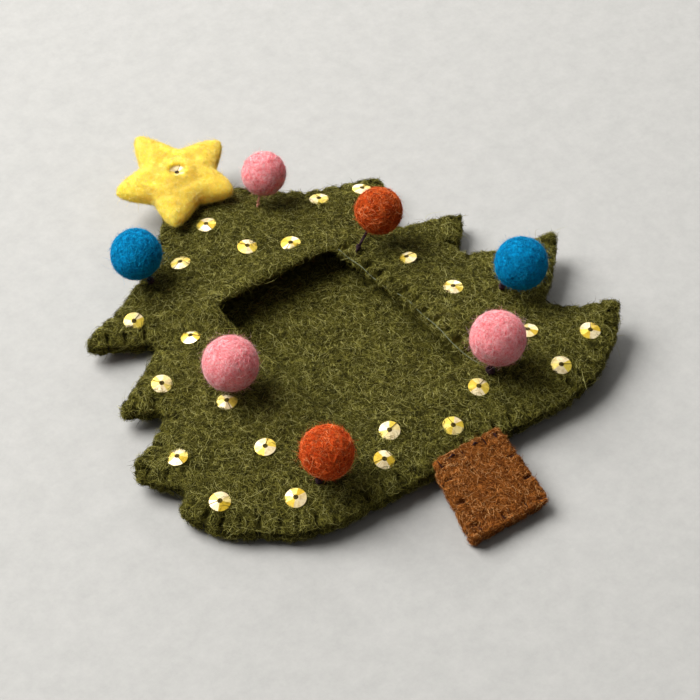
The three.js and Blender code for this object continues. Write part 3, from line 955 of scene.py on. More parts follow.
@dataclass
class SoftForm:
    """A soft copy of a solid that the cloth solver swells between the places where thread holds it.

    The copy starts smaller than the solid by shrink and swells by up to swell, or by up to under on faces
    that point down.
    """

    node: str
    name: str
    voxel: float
    shrink: float
    swell: float
    under: float
    held: list[tuple[np.ndarray, np.ndarray, float]] = field(default_factory=list)

    SCALE = 6.0
    PRESSURE = 4.0
    STITCHED = "stitched"
    SMOOTHING = 3
    QUALITY = 5
    QUICK_SWELL = 0.2
    DOWNWARD = -0.3
    COARSE_SIZE = 2.6
    FINE_SIZE = 1.0
    FINE_SHIFT = 7.3
    SPOT = 0.1

    @classmethod
    def spot(cls, place: np.ndarray, reach: float) -> tuple[np.ndarray, np.ndarray, float]:
        """A small round place that thread holds, as a very short segment."""
        return place, place + EAST * cls.SPOT * MM, reach

    def surface(self) -> tuple[np.ndarray, np.ndarray]:
        """The copy's points, and the direction out of it at each."""
        return read_points(self.piece.data), read_normals(self.piece.data)

    def lay_out(self, fit: Matrix = Matrix.Identity(4)) -> None:
        """Makes the copy with an even mesh, a little smaller than the solid, after a fit of the whole."""
        self.piece = add_object(self.name, frame["nodes"][self.node].data.copy())
        self.piece.data.transform(fit)
        self.piece.data.materials.clear()
        grid = self.piece.modifiers.new("even mesh", "REMESH")
        grid.mode = "VOXEL"
        grid.voxel_size = self.voxel * MM
        settle_modifiers(self.piece)
        work = bmesh.new()
        work.from_mesh(self.piece.data)
        for _ in range(self.SMOOTHING):
            bmesh.ops.smooth_vert(
                work, verts=work.verts, factor=0.5, use_axis_x=True, use_axis_y=True, use_axis_z=True
            )
        work.to_mesh(self.piece.data)
        work.free()
        self.outward = read_normals(self.piece.data)
        self.start = read_points(self.piece.data) - self.outward * self.shrink * MM
        write_points(self.piece.data, self.start)

    def add_cloth(self) -> None:
        """Pins what the thread holds and gives the copy to the cloth solver, enlarged."""
        group = self.piece.vertex_groups.new(name=self.STITCHED)
        for start, end, reach in self.held:
            near = np.flatnonzero(to_segment(self.start, start, end)[0] < reach * MM)
            group.add(near.tolist(), 1.0, "REPLACE")
        write_points(self.piece.data, self.start * self.SCALE)
        cloth = self.piece.modifiers.new("swell", "CLOTH")
        cloth.settings.use_pressure = True
        cloth.settings.uniform_pressure_force = self.PRESSURE
        cloth.settings.effector_weights.gravity = 0
        cloth.settings.vertex_group_mass = self.STITCHED
        cloth.settings.quality = self.QUALITY
        cloth.collision_settings.use_collision = False
        cloth.point_cache.frame_start = 1
        cloth.point_cache.frame_end = ClothPress.FRAMES

    def settle(self) -> None:
        """Keeps what the solver made, within the limits of the swelling, and smooths it once."""
        swollen = self.start + self.outward * (self.shrink + self.QUICK_SWELL) * MM
        if self.piece.modifiers:
            moved = shown_mesh(self.piece)
            swollen = read_points(moved) / self.SCALE
            bpy.data.meshes.remove(moved)
            self.piece.modifiers.clear()
        limit = np.where(self.outward[:, 2] < self.DOWNWARD, self.under, self.swell) * MM
        step = swollen - self.start
        length = np.linalg.norm(step, axis=1)
        points = self.start + step * np.minimum(1, limit / np.maximum(length, 1e-9))[:, None]
        write_points(self.piece.data, points)
        finer = self.piece.modifiers.new("finer", "SUBSURF")
        finer.levels = 1
        finer.render_levels = 1
        settle_modifiers(self.piece)
        self.piece.vertex_groups.clear()
        shade_smooth(self.piece.data)

    def matted(self, coarse: float, fine: float, seed: float) -> None:
        """Roughens the surface with felted lumps, whose heights are in millimetres."""
        points, normals = self.surface()
        height = coarse * lumps(points, self.COARSE_SIZE, seed)
        height += fine * lumps(points, self.FINE_SIZE, seed + self.FINE_SHIFT)
        write_points(self.piece.data, points + normals * (height * MM)[:, None])

    def keep_above(self, floor: float) -> None:
        """Flattens what would lie under the table."""
        points = read_points(self.piece.data)
        points[:, 2] = np.maximum(points[:, 2], floor)
        write_points(self.piece.data, points)


class ClothPress:
    """Runs the cloth solver once for all soft forms."""

    FRAMES = 20

    @classmethod
    def swell(cls, forms: list[SoftForm]) -> None:
        """Swells the forms."""
        for form in forms:
            form.add_cloth()
        for number in range(1, cls.FRAMES + 1):
            bpy.context.scene.frame_set(number)
        for form in forms:
            form.settle()
            LOG.info("%s is swollen, with %d points", form.name, len(form.piece.data.vertices))
        bpy.context.scene.frame_set(1)


@dataclass
class Sequin:
    """A faceted cup of gold film, sewn down through its hole."""

    node: str
    body: str
    name: str
    facets: int = 8
    film: float = 0.09
    lip: float = 0.12
    tilt: float = 5.0
    # Facet gold and cream are laid out by direction, a painted reflection; the cream falls across this way.
    painted_glint_way: float = -37.0
    turn_spread: float = 0.4
    tone_middle: float = 0.44
    painted_glint_swing: float = 0.34
    tone_spread: float = 0.2
    edge_tone: float = 0.2
    thread: float = 0.11
    knot_thread: float = 0.5
    knot_radius: float = 0.26
    knot_sink: float = 0.12
    knot_turn: float = 7.0

    STEPS = 4
    CORNERS = 8
    OUTER = 0.9
    INNER = 1.1
    THREAD_START = 0.9
    THREAD_END = 0.5
    THREAD_OVER = 0.05
    OVER_EYE = 0.08
    IN_EYE = 0.1
    DOWN_THE_CUP = 0.6
    PAST_RIM = 1.02
    BEYOND = 1.14

    def __post_init__(self) -> None:
        """Reads the place, direction and sizes of the cup from its solid."""
        points = read_points(frame["nodes"][self.node].data)
        middle = points.mean(axis=0)
        axis = np.linalg.svd(points - middle)[2][2]
        self.axis = axis * np.sign(axis[2])
        heights = (points - middle) @ self.axis
        spokes = points - middle - heights[:, None] * self.axis
        reach = np.linalg.norm(spokes, axis=1)
        self.radius, self.hole = reach.max(), reach.min()
        self.seat = middle + self.axis * heights.min()
        self.rim_rise = heights[reach > self.OUTER * self.radius].min() - heights.min()
        self.eye_rise = heights[reach < self.INNER * self.hole].min() - heights.min()
        self.east = unit(spokes[reach.argmax()])

    def frame_of(self, draw: np.random.Generator) -> Matrix:
        """The cup's place as a matrix, tipped a little at random."""
        north = np.cross(self.axis, self.east)
        turn = Matrix(np.column_stack([self.east, north, self.axis]).tolist()).to_4x4()
        tip = Matrix.Rotation(math.radians(draw.normal(0, self.tilt)), 4, Vector(draw.normal(size=3)))
        return Matrix.Translation(self.seat) @ turn @ tip

    def rings(self, turns: np.ndarray) -> list[np.ndarray]:
        """The rings of points on the cup's underside, from its hole to its rim."""
        from_middle = np.abs((turns % (2 * np.pi / self.facets)) - np.pi / self.facets)
        flat = np.cos(from_middle) / math.cos(np.pi / self.facets)
        slope = (self.rim_rise - self.eye_rise) / (self.radius - self.hole)
        rings = []
        for radius in (self.hole, self.hole + self.lip * MM, (self.hole + self.radius) / 2, self.radius):
            run = np.maximum(radius * flat - self.hole * flat.min(), 0) / flat.max()
            height = self.eye_rise + run * slope
            rings.append(np.column_stack([radius * np.cos(turns), radius * np.sin(turns), height]))
        return rings

    def tones(self, draw: np.random.Generator) -> np.ndarray:
        """Each facet's tone: gold along the painted-glint way and, across it, cream as painted reflection, with a
        little random spread.
        """
        turns = 2 * np.pi * (np.arange(self.facets) + 0.5) / self.facets
        turns += math.atan2(self.east[1], self.east[0])
        turns -= math.radians(self.painted_glint_way) + draw.normal(0, self.turn_spread)
        spread = draw.normal(0, self.tone_spread, self.facets)
        # painted reflection: the cosine gives the cream tone to facets across the way, as if they mirrored a
        # bright room
        return np.clip(self.tone_middle - self.painted_glint_swing * np.cos(2 * turns) + spread, 0, 1)

    def build(
        self, film: bpy.types.Material, thread: bpy.types.Material, draw: np.random.Generator
    ) -> bpy.types.Object:
        """Makes the faceted cup and the stitch that holds it.

        Args:
            film: The cup's material.
            thread: The stitch's material.
            draw: The source of random numbers.

        Returns:
            The piece.
        """
        around = self.facets * self.STEPS
        rings = self.rings(2 * np.pi * np.arange(around) / around)
        under = np.concatenate(rings)
        layer = len(under)
        facet_tone = self.tones(draw)
        faces, tones = [], []
        for row in range(len(rings) - 1):
            for k in range(around):
                a, b = row * around + k, row * around + (k + 1) % around
                faces.append((a, a + around, b + around, b))
                faces.append((a + layer, b + layer, b + around + layer, a + around + layer))
                tones += [facet_tone[k // self.STEPS]] * self.CORNERS
        for k in range(around):
            after, last = (k + 1) % around, layer - around
            faces.append((k, after, after + layer, k + layer))
            faces.append((last + k, last + k + layer, last + after + layer, last + after))
            tones += [self.edge_tone] * self.CORNERS
        mesh = bpy.data.meshes.new(self.name)
        mesh.from_pydata(np.concatenate([under + UP * self.film * MM, under]).tolist(), [], faces)
        tone = mesh.color_attributes.new("tone", "FLOAT_COLOR", "CORNER")
        shades = np.repeat(np.array(tones), 4).reshape(-1, 4)
        shades[:, 3] = 1
        tone.data.foreach_set("color", shades.astype(np.float32).ravel())
        mesh.materials.append(film)
        piece = add_object(self.name, mesh)
        self.stitch(piece, thread, draw)
        piece.data.transform(self.frame_of(draw))
        return hand_over(piece, self.body, "gold_film", self.node)

    def stitch(
        self, piece: bpy.types.Object, thread: bpy.types.Material, draw: np.random.Generator
    ) -> None:
        """Adds the thread that comes up through the hole, crosses the cup and goes down past its edge."""
        turn = draw.uniform(0, 2 * np.pi)
        ray = np.array([math.cos(turn), math.sin(turn), 0])
        eye, rim = self.eye_rise + self.film * MM, self.rim_rise + self.film * MM
        between = 0.45 * eye + 0.55 * rim
        path = [
            -UP * self.THREAD_START * MM,
            UP * (self.eye_rise + self.IN_EYE * MM),
            ray * self.hole + UP * (eye + self.OVER_EYE * MM),
            ray * self.radius * self.DOWN_THE_CUP + UP * (between + self.THREAD_OVER * MM),
            ray * self.radius * self.PAST_RIM + UP * (rim + self.THREAD_OVER * MM),
            ray * self.radius * self.BEYOND - UP * self.THREAD_END * MM,
        ]
        tube = Tube(sides=5)
        tube.run(smooth_path(np.array(path), 3), self.thread)
        turns = np.linspace(0, self.knot_turn, 14)
        circle = np.column_stack([np.cos(turns), np.sin(turns), 0 * turns]) * self.knot_radius
        tube.run((circle - UP * self.knot_sink) * MM + UP * self.eye_rise, self.knot_thread)
        sewn = tube.piece(f"{self.name}_stitch", thread)
        work = bmesh.new()
        work.from_mesh(piece.data)
        film_faces = len(work.faces)
        work.from_mesh(sewn.data)
        work.faces.ensure_lookup_table()
        for face in work.faces[film_faces:]:
            face.material_index = 1
        work.to_mesh(piece.data)
        work.free()
        piece.data.materials.append(thread)
        bpy.data.objects.remove(sewn)


@dataclass
class FeltTree:
    """The two green panels, their stitching and their fibres, with the sequins on the front."""

    pitch: float = 3.6
    inset: float = 2.4
    thread: float = 0.26
    edge_grip: float = 0.75
    edge_pull: float = 0.5
    parting_width: float = 0.5
    rim_band: float = 1.6
    tip_reach: float = 1.7
    tip_cosine: float = 0.4
    seat_grip: float = 0.9
    seat_flat: float = 2.0
    seat_reach: float = 3.4
    seat_rise: float = 0.1
    window_pitch: float = 3.3
    window_inset: float = 2.6
    window_pull: float = 0.1
    window_side: float = 0.9
    window_band: float = 2.0
    lip_left: float = 2.4
    lip_right: float = 0.8
    lip_reach: float = 9.0
    skew_far: float = -2.2
    skew_reach: float = 7.0
    loose_thread: float = 0.14
    thread_sag: float = 0.4

    hem = Hem(groove=1.5, width=0.8, bulge=0.1, roll=0.5, reach=2.6, at_side=0.2, fill=0.85, draw=0.7)
    window_hem = Hem(groove=1.4, width=1.1, bulge=0.0, roll=0.0, reach=1.5)
    lying = FibreCoat(per_mm2=18, length=1.9, width=0.085, height=0.2, curl=2.1, stand=0.13)
    stray = FibreCoat(per_mm2=0.12, length=3.6, width=0.07, height=0.5, curl=1.4, stand=0.4, tone_power=0.4)

    LOOSE_SHARES = np.array([0.02, 0.1, 0.18, 0.27, 0.38, 0.5, 0.62, 0.75, 0.88, 1.0, 1.1])
    LOOSE_ASIDE = np.array([0.6, 0.4, 0.6, 0.5, 0.6, 0.9, 0.7, 0.9, 0.6, 0.9, 2.2])
    LOOSE_RISES = np.array([0.2, 0.25, 0.2, -0.3, -0.3, 0.0, 0.25, 0.3, 0.25, 0.15, -0.1])
    UPWARD = 0.2
    SEEN_FROM = -0.25
    OPEN_FACE = 0.3
    CUT_SIDE = 0.6
    THIN_COAT = 0.35

    def __post_init__(self) -> None:
        """Finds the rims, the stitches and what is sewn to the front."""
        self.rim = Rim.all_of("back_panel")[0]
        self.cut = Rim.all_of("front_panel")[1]
        self.window = Rim(self.cut.points + self.skew(self.cut.points)[:, None] * EAST)
        places, out = self.rim.spaced(self.pitch)
        plain = self.rim.straight_at(places, self.tip_reach, self.tip_cosine)
        self.edge = WhipStitches(places[plain], out[plain], self.inset, self.thread, 11, self.edge_pull)
        places, out = self.window.spaced(self.window_pitch)
        right = out[:, 0] > self.window_side
        self.window_edge = WhipStitches(
            places[right], -out[right], self.window_inset, self.thread, 12, self.window_pull
        )
        on_tree = frame["record"]["behaviour"]["bodies"]["tree"]
        self.sequins = [Sequin(name, "tree", f"cup_{name}") for name in on_tree if "sequin" in name]
        feet = [np.array(joint["pos_m"]) for joint in frame["joints"] if joint["name"].endswith("_lean")]
        self.seats = [sequin.seat for sequin in self.sequins] + feet

    def forms(self) -> list[SoftForm]:
        """The two panels as soft forms."""
        sewn = self.edge.held(self.edge_grip)
        pressed = [SoftForm.spot(seat, self.seat_grip) for seat in self.seats]
        self.front = SoftForm(
            "front_panel", "front_felt", voxel=0.8, shrink=0.1, swell=0.5, under=0.2, held=sewn + pressed
        )
        self.back = SoftForm(
            "back_panel", "back_felt", voxel=0.8, shrink=0.1, swell=0.3, under=0.1, held=sewn
        )
        for form in (self.front, self.back):
            form.lay_out()
        return [self.front, self.back]

    def dress(self) -> None:
        """Presses the stitches in, mats the felt, sews it and covers it with fibres."""
        for form, face, seed in ((self.front, 1, 3.1), (self.back, -1, 8.7)):
            points, normals = form.surface()
            points = self.hem.shape(points, normals, self.rim, self.edge, face)
            if form is self.front:
                points[:, 0] += self.skew(points) * fade(self.cut.distance(points), self.skew_reach * MM)
                points = self.window_hem.shape(points, normals, self.window, self.window_edge)
                points[:, 2] += self.lip(points)
            write_points(form.piece.data, points)
            form.matted(coarse=0.16, fine=0.07, seed=seed)
            form.piece.data.materials.append(Wool.GREEN.matted())
        self.seat_sequins()
        self.back.keep_above(0.0)
        self.declare()
        self.sew()
        self.cover()

    def skew(self, points: np.ndarray) -> np.ndarray:
        """How far aside the window was cut, which grows from its middle to its far edge."""
        return self.skew_far * MM * np.clip(points[:, 1] / self.cut.points[:, 1].max(), 0, 1)

    def lip(self, points: np.ndarray) -> np.ndarray:
        """How far the felt stands up along the far edge of the window, where it gapes most at the left."""
        low, high = self.window.corners()
        away, share = to_segment(points, np.array([low[0], high[1], 0]), high)
        rise = self.lip_left + (self.lip_right - self.lip_left) * share
        return rise * MM * fade(away, self.lip_reach * MM)

    def seat_sequins(self) -> None:
        """Brings the felt to just under each sequin and shank."""
        mesh = self.front.piece.data
        points, normals = self.front.surface()
        top = normals[:, 2] > self.UPWARD
        solid, felt = Ground(frame["nodes"]["front_panel"].data), Ground(mesh)
        for seat in self.seats:
            away = np.linalg.norm(points[:, :2] - seat[:2], axis=1)
            near = np.flatnonzero(top & (away < self.seat_reach * MM))
            drop = solid.over(seat)[2] + self.seat_rise * MM - felt.over(seat)[2]
            slope = self.seat_reach * MM - self.seat_flat * MM
            points[near, 2] += drop * fade(away[near] - self.seat_flat * MM, slope)
        write_points(mesh, points)

    def declare(self) -> None:
        """Hands the panels over."""
        low, high = self.rim.corners()
        hand_over(self.back.piece, "tree", Wool.GREEN.slot, "back_panel")
        hand_over(self.front.piece, "tree", Wool.GREEN.slot, "front_panel")
        self.rim.area()
        self.rim.area() - self.window.area()

    def sew(self) -> None:
        """Runs the edge thread round the tree, and the loose thread along the window."""
        tube = Tube(sides=5)
        front, back = Ground(self.front.piece.data), Ground(self.back.piece.data)
        self.edge.sew(tube, front, back, upper=1.15, lower=-0.85)
        stitches = tube.piece("whip_stitches", Thread.GREEN.material())
        hand_over(stitches, "tree", Thread.GREEN.slot, "edge_thread")
        low, high = self.window.corners()
        along = high[1] + self.LOOSE_SHARES * (low[1] - high[1])
        places = np.column_stack([high[0] + self.LOOSE_ASIDE * MM, along, 0 * along])
        places[:, 0] += self.skew(places)
        places[:, 2] = [front.over(place)[2] for place in places]
        lowest = high[2] - self.thread_sag * MM
        places[:, 2] = np.maximum(places[:, 2], lowest) + self.LOOSE_RISES * MM
        loose = Tube(sides=5)
        loose.run(smooth_path(places, 6), self.loose_thread)
        hand_over(loose.piece("window_thread", Thread.PALE.material()), "tree", Thread.PALE.slot)

    def cover(self) -> None:
        """Grows the fibres of both panels where they can be seen."""
        for form, seed in ((self.front, 21), (self.back, 22)):
            skin = Skin.of(form.piece)
            tilt, middles = skin.facing()[:, 2], skin.middles()
            if form is self.front:
                skin.density = np.where(tilt > self.SEEN_FROM, 1.0, 0.0)
            else:
                low, high = self.window.corners()
                low, high = low - self.window_band * MM, high + self.window_band * MM
                inside = ((middles > low)[:, :2] & (middles < high)[:, :2]).all(axis=1)
                at_edge = (np.abs(tilt) < self.CUT_SIDE) & self.near_rim(middles)
                seen = (inside & (tilt > self.OPEN_FACE)) | at_edge
                skin.density = np.where(seen, 1.0, np.where(tilt < -self.OPEN_FACE, self.THIN_COAT, 0.0))
            self.lying.grow(f"{form.name}_fibres", skin, Wool.GREEN, "tree", seed, self.parting)
            skin.density *= tilt > self.SEEN_FROM
            self.stray.grow(f"{form.name}_strays", skin, Wool.GREEN, "tree", seed + 40, self.parting)

    def parting(self, places: np.ndarray) -> np.ndarray:
        """How close places are to a stitch, from 0 to 1."""
        edge = self.edge.nearness(places, self.parting_width)
        return np.maximum(edge, self.window_edge.nearness(places, self.window_hem.width))

    def near_rim(self, places: np.ndarray) -> np.ndarray:
        """Which places lie by the outer edge."""
        near = np.zeros(len(places), bool)
        for point in self.rim.spaced(1.0)[0]:
            near |= np.abs(places[:, :2] - point[:2]).max(axis=1) < self.rim_band * MM
        return near

    def add_sequins(self, film: bpy.types.Material) -> None:
        """Sews the cup sequins on."""
        draw = np.random.default_rng(5)
        for sequin in self.sequins:
            sequin.build(film, Thread.OLIVE.material(), draw)


@dataclass
class FeltTrunk:
    """The trunk's two layers of brown felt, with their stitches and fibres."""

    pitch: float = 5.2
    inset: float = 1.9
    thread: float = 0.42
    edge_grip: float = 0.55
    edge_pull: float = 0.15
    parting_width: float = 0.45
    lift: float = 0.05

    hem = Hem(groove=0.75, width=0.7, bulge=0.0, roll=0.0, reach=1.6)
    lying = FibreCoat(per_mm2=22, length=1.4, width=0.075, height=0.14, curl=2.0, stand=0.14)

    SEEN_FROM = -0.4
    CUT_SIDE = 0.6
    THIN_COAT = 0.4

    def forms(self) -> list[SoftForm]:
        """The two layers as soft forms."""
        self.rims = {node: Rim.all_of(node)[0] for node in ("trunk_front", "trunk_back")}
        places, out = self.rims["trunk_front"].spaced(self.pitch)
        self.edge = WhipStitches(places, out, self.inset, self.thread, 17, self.edge_pull)
        held = self.edge.held(self.edge_grip)
        self.front, self.back = (
            SoftForm(node, f"{node}_felt", voxel=0.4, shrink=0.0, swell=0.12, under=0.05, held=held)
            for node in self.rims
        )
        for form in (self.front, self.back):
            form.lay_out()
        return [self.front, self.back]

    def dress(self) -> None:
        """Presses the stitches in, mats the felt, sews it and covers it with fibres."""
        for form, face, seed in ((self.front, 1, 31), (self.back, -1, 32)):
            rim = self.rims[form.node]
            points, normals = form.surface()
            write_points(form.piece.data, self.hem.shape(points, normals, rim, self.edge, face))
            form.matted(coarse=0.06, fine=0.06, seed=seed)
            form.keep_above(self.lift * MM)
            form.piece.data.materials.append(Wool.BROWN.matted())
            hand_over(form.piece, "trunk_body", Wool.BROWN.slot, form.node)
            low, high = rim.corners()
            rim.area()
            skin = Skin.of(form.piece)
            tilt = skin.facing()[:, 2]
            skin.density = np.where(tilt > self.SEEN_FROM, 1.0, 0.0)
            if form is self.back:
                under = np.where(tilt < 0, self.THIN_COAT, 0.0)
                skin.density = np.where(np.abs(tilt) < self.CUT_SIDE, 1.0, under)
            self.lying.grow(f"{form.name}_fibres", skin, Wool.BROWN, "trunk_body", seed, self.parting)
        tube = Tube(sides=5)
        front, back = Ground(self.front.piece.data), Ground(self.back.piece.data)
        self.edge.sew(tube, front, back, upper=-0.65, lower=-2.2)
        stitches = tube.piece("trunk_stitches", Thread.BROWN.material())
        hand_over(stitches, "trunk_body", Thread.BROWN.slot, "trunk_thread")

    def parting(self, places: np.ndarray) -> np.ndarray:
        """How close places are to a stitch, from 0 to 1."""
        return self.edge.nearness(places, self.parting_width)


@dataclass
class WoolStar:
    """The needle-felted star, with a sequin drawn into its middle."""

    dimple: float = 1.5
    pit_radius: float = 1.25
    pit_wall: float = 0.8
    pit_depth: float = 0.3
    collar_rise: float = 1.05
    collar_reach: float = 5.0
    tip_fullness: float = -0.08
    stretch: float = 1.04
    arm_start: float = 4.0
    arm_run: float = 8.5
    arm_end: float = 1.2
    arm_extra: tuple[float, ...] = (2.5, 0.0, 0.5, -0.9, 1.0)
    arm_turn: float = -0.6
    face_level: float = 0.58
    face_keep: float = 0.6

    fuzz = FibreCoat(per_mm2=13, length=1.3, width=0.055, height=0.1, curl=1.8, stand=0.25)
    halo = FibreCoat(per_mm2=5.0, length=1.0, width=0.035, height=0.1, curl=1.6, stand=0.8, tone_power=0.6)

    UPWARD = 0.2

    def forms(self) -> list[SoftForm]:
        """The star as a soft form, held at its middle."""
        low, high = (np.array(corner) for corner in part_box("star_sequin"))
        self.middle, self.seat = (low + high) / 2, low[2]
        held = [SoftForm.spot(self.middle, self.dimple)]
        self.form = SoftForm("star", "star_wool", voxel=0.5, shrink=0.1, swell=0.65, under=0.3, held=held)
        low, high = (np.array(corner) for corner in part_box("star"))
        grow = Matrix.Diagonal((self.stretch, self.stretch, 1, 1))
        centre = Matrix.Translation((low + high) / 2)
        self.form.lay_out(centre @ grow @ centre.inverted())
        return [self.form]

    def draw_arms(self, points: np.ndarray) -> np.ndarray:
        """The points with each arm drawn out by its own length."""
        moved = points.copy()
        for number, extra in enumerate(self.arm_extra):
            turn = 2 * np.pi * number / len(self.arm_extra) + math.radians(self.arm_turn)
            way = np.array([-math.sin(turn), math.cos(turn), 0])
            side = np.cross(UP, way)
            run = (points - self.middle) @ way - self.arm_start * MM
            share = np.clip(run / (self.arm_run * MM), 0, self.arm_end)
            moved += (extra * MM * share**2)[:, None] * way
            moved += (self.tip_fullness * share**2 * ((points - self.middle) @ side))[:, None] * side
        return moved

    def press(self, points: np.ndarray) -> np.ndarray:
        """The points with the star's face pressed flatter above a level, as the needle leaves it."""
        low, high = (corner[2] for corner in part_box("star"))
        over = np.maximum(points[:, 2] - low - self.face_level * (high - low), 0)
        return points - UP * ((1 - self.face_keep) * over)[:, None]

    def sink(self, points: np.ndarray, normals: np.ndarray) -> np.ndarray:
        """The points with a narrow pit round the sequin, whose wall closes over the cup's rim."""
        moved = points.copy()
        away = np.linalg.norm(points[:, :2] - self.middle[:2], axis=1) / MM
        near = (normals[:, 2] > self.UPWARD) & (away < self.collar_reach)
        wall = fade(self.pit_radius + self.pit_wall - away, self.pit_wall)
        height = self.seat + (wall * (self.collar_rise + self.pit_depth) - self.pit_depth) * MM
        slope = self.collar_reach - self.pit_radius - self.pit_wall
        share = fade(away - self.pit_radius - self.pit_wall, slope)
        moved[near, 2] += (share * (height - points[:, 2]))[near]
        return moved

    def dress(self, film: bpy.types.Material) -> None:
        """Raises a collar of wool round the sequin, mats the star and covers it with fibres."""
        points, normals = self.form.surface()
        write_points(self.form.piece.data, self.sink(self.press(self.draw_arms(points)), normals))
        self.form.matted(coarse=0.03, fine=0.03, seed=41)
        self.form.piece.data.materials.append(Wool.YELLOW.matted())
        hand_over(self.form.piece, "star_body", Wool.YELLOW.slot, "star")
        skin = Skin.of(self.form.piece)
        self.fuzz.grow("star_fibres", skin, Wool.YELLOW, "star_body", 42)
        self.halo.grow("star_halo", skin, Wool.YELLOW, "star_body", 43)
        sequin = Sequin("star_sequin", "star_body", "cup_star")
        sequin.build(film, Thread.PLUM.material(), np.random.default_rng(6))


@dataclass
class WoolBauble:
    """A felted wool ball on a short shank of wrapped thread."""

    name: str
    wool: Wool
    thread: Thread = Thread.PLUM
    wraps: int = 3
    strand: float = 0.3
    knot: float = 0.55
    seed: int = 0
    wound: FibreCoat = FibreCoat(per_mm2=8, length=1.7, width=0.06, height=0.06, curl=1.9, stand=0.1)

    halo = FibreCoat(per_mm2=4.0, length=1.1, width=0.035, height=0.1, curl=1.6, stand=0.8, tone_power=0.6)

    LUMPS = ((0.16, 5.5, 0.0), (0.05, 1.6, 3.7), (0.035, 0.7, 9.1))
    STRANDS = 3
    TWIST = 0.9
    SPREAD = 0.55
    ROOT_DEPTH = 1.3
    HEAD_DEPTH = 0.7
    KNOT_SPAN = 0.8
    KNOT_START = 0.4
    KNOT_STEPS = 14
    ASKEW = np.array([0.2, 0.9, 0.4])

    def build(self) -> None:
        """Makes the ball, its fibres and its shank."""
        low, high = (np.array(corner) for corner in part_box(f"{self.name}_ball"))
        middle, radius = (low + high) / 2, float((high - low).mean() / 2)
        work = bmesh.new()
        bmesh.ops.create_icosphere(work, subdivisions=5, radius=radius)
        mesh = bpy.data.meshes.new(f"{self.name}_felted")
        work.to_mesh(mesh)
        work.free()
        points = read_points(mesh)
        height = sum(rise * lumps(points, size, self.seed + shift) for rise, size, shift in self.LUMPS)
        write_points(mesh, middle + points * (1 + height * MM / radius)[:, None])
        shade_smooth(mesh)
        mesh.materials.append(self.wool.matted())
        body = f"{self.name}_wool"
        ball = hand_over(add_object(f"{self.name}_felted", mesh), body, self.wool.slot, f"{self.name}_ball")
        skin = Skin.of(ball)
        self.wound.grow(f"{self.name}_fibres", skin, self.wool, body, 60 + self.seed)
        self.halo.grow(f"{self.name}_halo", skin, self.wool, body, 80 + self.seed)
        self.tie(middle, radius)

    def tie(self, middle: np.ndarray, radius: float) -> None:
        """Wraps the shank: strands from the felt to the ball, bound round by a few turns."""
        foot = next(np.array(j["pos_m"]) for j in frame["joints"] if j["name"] == f"{self.name}_lean")
        axis = unit(middle - foot)
        root, head = foot - axis * self.ROOT_DEPTH * MM, middle - axis * (radius - self.HEAD_DEPTH * MM)
        east = unit(np.cross(axis, self.ASKEW))
        north = np.cross(axis, east)
        tube = Tube(sides=6)
        share = np.linspace(0, 1, 12)[:, None]
        for k in range(self.STRANDS):
            turn = 2 * np.pi * (k / self.STRANDS + self.TWIST * share)
            twist = (np.cos(turn) * east + np.sin(turn) * north) * self.strand * self.SPREAD * MM
            tube.run(root + (head - root) * share + twist, self.strand)
        steps = np.linspace(0, 1, self.KNOT_STEPS * self.wraps)[:, None]
        turn = 2 * np.pi * self.wraps * steps
        round_it = (np.cos(turn) * east + np.sin(turn) * north) * self.knot * MM
        span = min(self.KNOT_SPAN * MM, 0.5 * float(np.linalg.norm(head - root)))
        tube.run(foot + axis * (steps - self.KNOT_START) * span + round_it, self.strand)
        wrapped = tube.piece(f"{self.name}_tie", self.thread.material())
        hand_over(wrapped, f"{self.name}_thread", self.thread.slot, f"{self.name}_shank")


COARSE = FibreCoat(per_mm2=9, length=2.6, width=0.12, height=0.1, curl=2.2, stand=0.05)
BAUBLES = [
    WoolBauble("blue_left", Wool.BLUE, seed=1),
    WoolBauble("pink_top", Wool.PINK, thread=Thread.BLUSH, wraps=1, strand=0.26, knot=0.3, seed=2),
    WoolBauble("rust_right", Wool.RUST, knot=0.42, seed=3, wound=COARSE),
    WoolBauble("blue_right", Wool.BLUE, seed=4),
    WoolBauble("pink_right", Wool.PINK, wraps=4, strand=0.42, knot=0.75, seed=5),
    WoolBauble("pink_left", Wool.PINK, seed=6),
    WoolBauble("orange", Wool.ORANGE, seed=7, wound=COARSE),
]


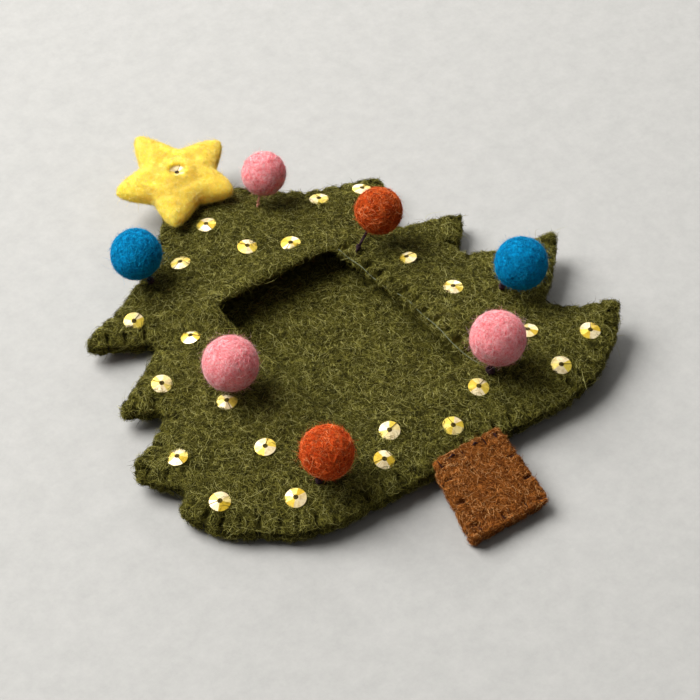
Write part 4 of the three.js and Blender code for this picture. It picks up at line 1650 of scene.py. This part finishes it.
@dataclass(frozen=True)
class Studio:
    """The camera, the table and the soft light."""

    eye: tuple[float, float, float] = (-190.35, -254.0, 343.86)
    heading: float = 37.04
    elevation: float = 47.1
    lens: float = 124.3
    sensor: float = 36.0
    floor_half: float = 2.5
    key_watts: float = 30.5
    key_size: float = 0.88
    key_from: tuple[float, float, float] = (-0.36, 0.665, 0.83)
    card_watts: float = 9.0
    card_size: float = 0.9
    card_from: tuple[float, float, float] = (0.8, 0.9, 0.42)
    sky: float = 0.15

    def add_camera(self) -> None:
        """Sets the camera where the picture was taken from."""
        turn, dip = math.radians(self.heading), math.radians(self.elevation)
        forward = Vector((math.cos(dip) * math.sin(turn), math.cos(dip) * math.cos(turn), -math.sin(dip)))
        data = bpy.data.cameras.new("view")
        data.lens = self.lens
        data.sensor_width = self.sensor
        data.clip_start = 0.01
        camera = bpy.data.objects.new("view", data)
        camera.location = Vector(self.eye) * MM
        camera.rotation_euler = forward.to_track_quat("-Z", "Y").to_euler()
        bpy.context.scene.collection.objects.link(camera)
        bpy.context.scene.camera = camera

    def add_floor(self) -> None:
        """Lays the pale table top."""
        half = self.floor_half
        mesh = bpy.data.meshes.new("table")
        corners = [(-half, -half, 0), (half, -half, 0), (half, half, 0), (-half, half, 0)]
        mesh.from_pydata(corners, [], [(0, 1, 2, 3)])
        mesh.materials.append(FloorFinish("pale_table", (157, 156, 152), (172, 170, 166)).material())
        add_object("table", mesh)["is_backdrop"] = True

    def add_lamp(self, name: str, watts: float, size: float, place: tuple[float, float, float]) -> None:
        """Adds a square lamp that faces the ornament from a place in metres."""
        lamp = bpy.data.lights.new(name, "AREA")
        lamp.energy = watts
        lamp.size = size
        holder = bpy.data.objects.new(name, lamp)
        holder.location = place
        holder.rotation_euler = (-Vector(place)).to_track_quat("-Z", "Y").to_euler()
        bpy.context.scene.collection.objects.link(holder)

    def add_light(self) -> None:
        """Adds a large soft lamp, a card that the sequins mirror and an even sky."""
        self.add_lamp("soft_window", self.key_watts, self.key_size, self.key_from)
        self.add_lamp("white_card", self.card_watts, self.card_size, self.card_from)
        world = bpy.data.worlds.new("studio")
        world.use_nodes = True
        sky = world.node_tree.nodes["Background"]
        sky.inputs["Color"].default_value = linear((250, 248, 246))
        sky.inputs["Strength"].default_value = self.sky
        bpy.context.scene.world = world
        bpy.context.scene.view_settings.view_transform = "Standard"


def main() -> None:
    """Builds the ornament in order."""
    logging.basicConfig(level=logging.INFO, format="%(message)s")
    studio = Studio()
    studio.add_camera()
    studio.add_floor()
    studio.add_light()
    tree, trunk, star = FeltTree(), FeltTrunk(), WoolStar()
    ClothPress.swell([*tree.forms(), *trunk.forms(), *star.forms()])
    # The third paint is the cream of the painted reflection on the sequin facets.
    film = FilmFinish("gold_film", (214, 180, 46), (234, 210, 84), (240, 222, 176)).material()
    tree.dress()
    tree.add_sequins(film)
    trunk.dress()
    star.dress(film)
    for bauble in BAUBLES:
        bauble.build()
    boxes = {"cad": cad_box, "visual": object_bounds()}
    {name: [list(corner) for corner in box] for name, box in boxes.items()}


if __name__ == "__main__":
    main()
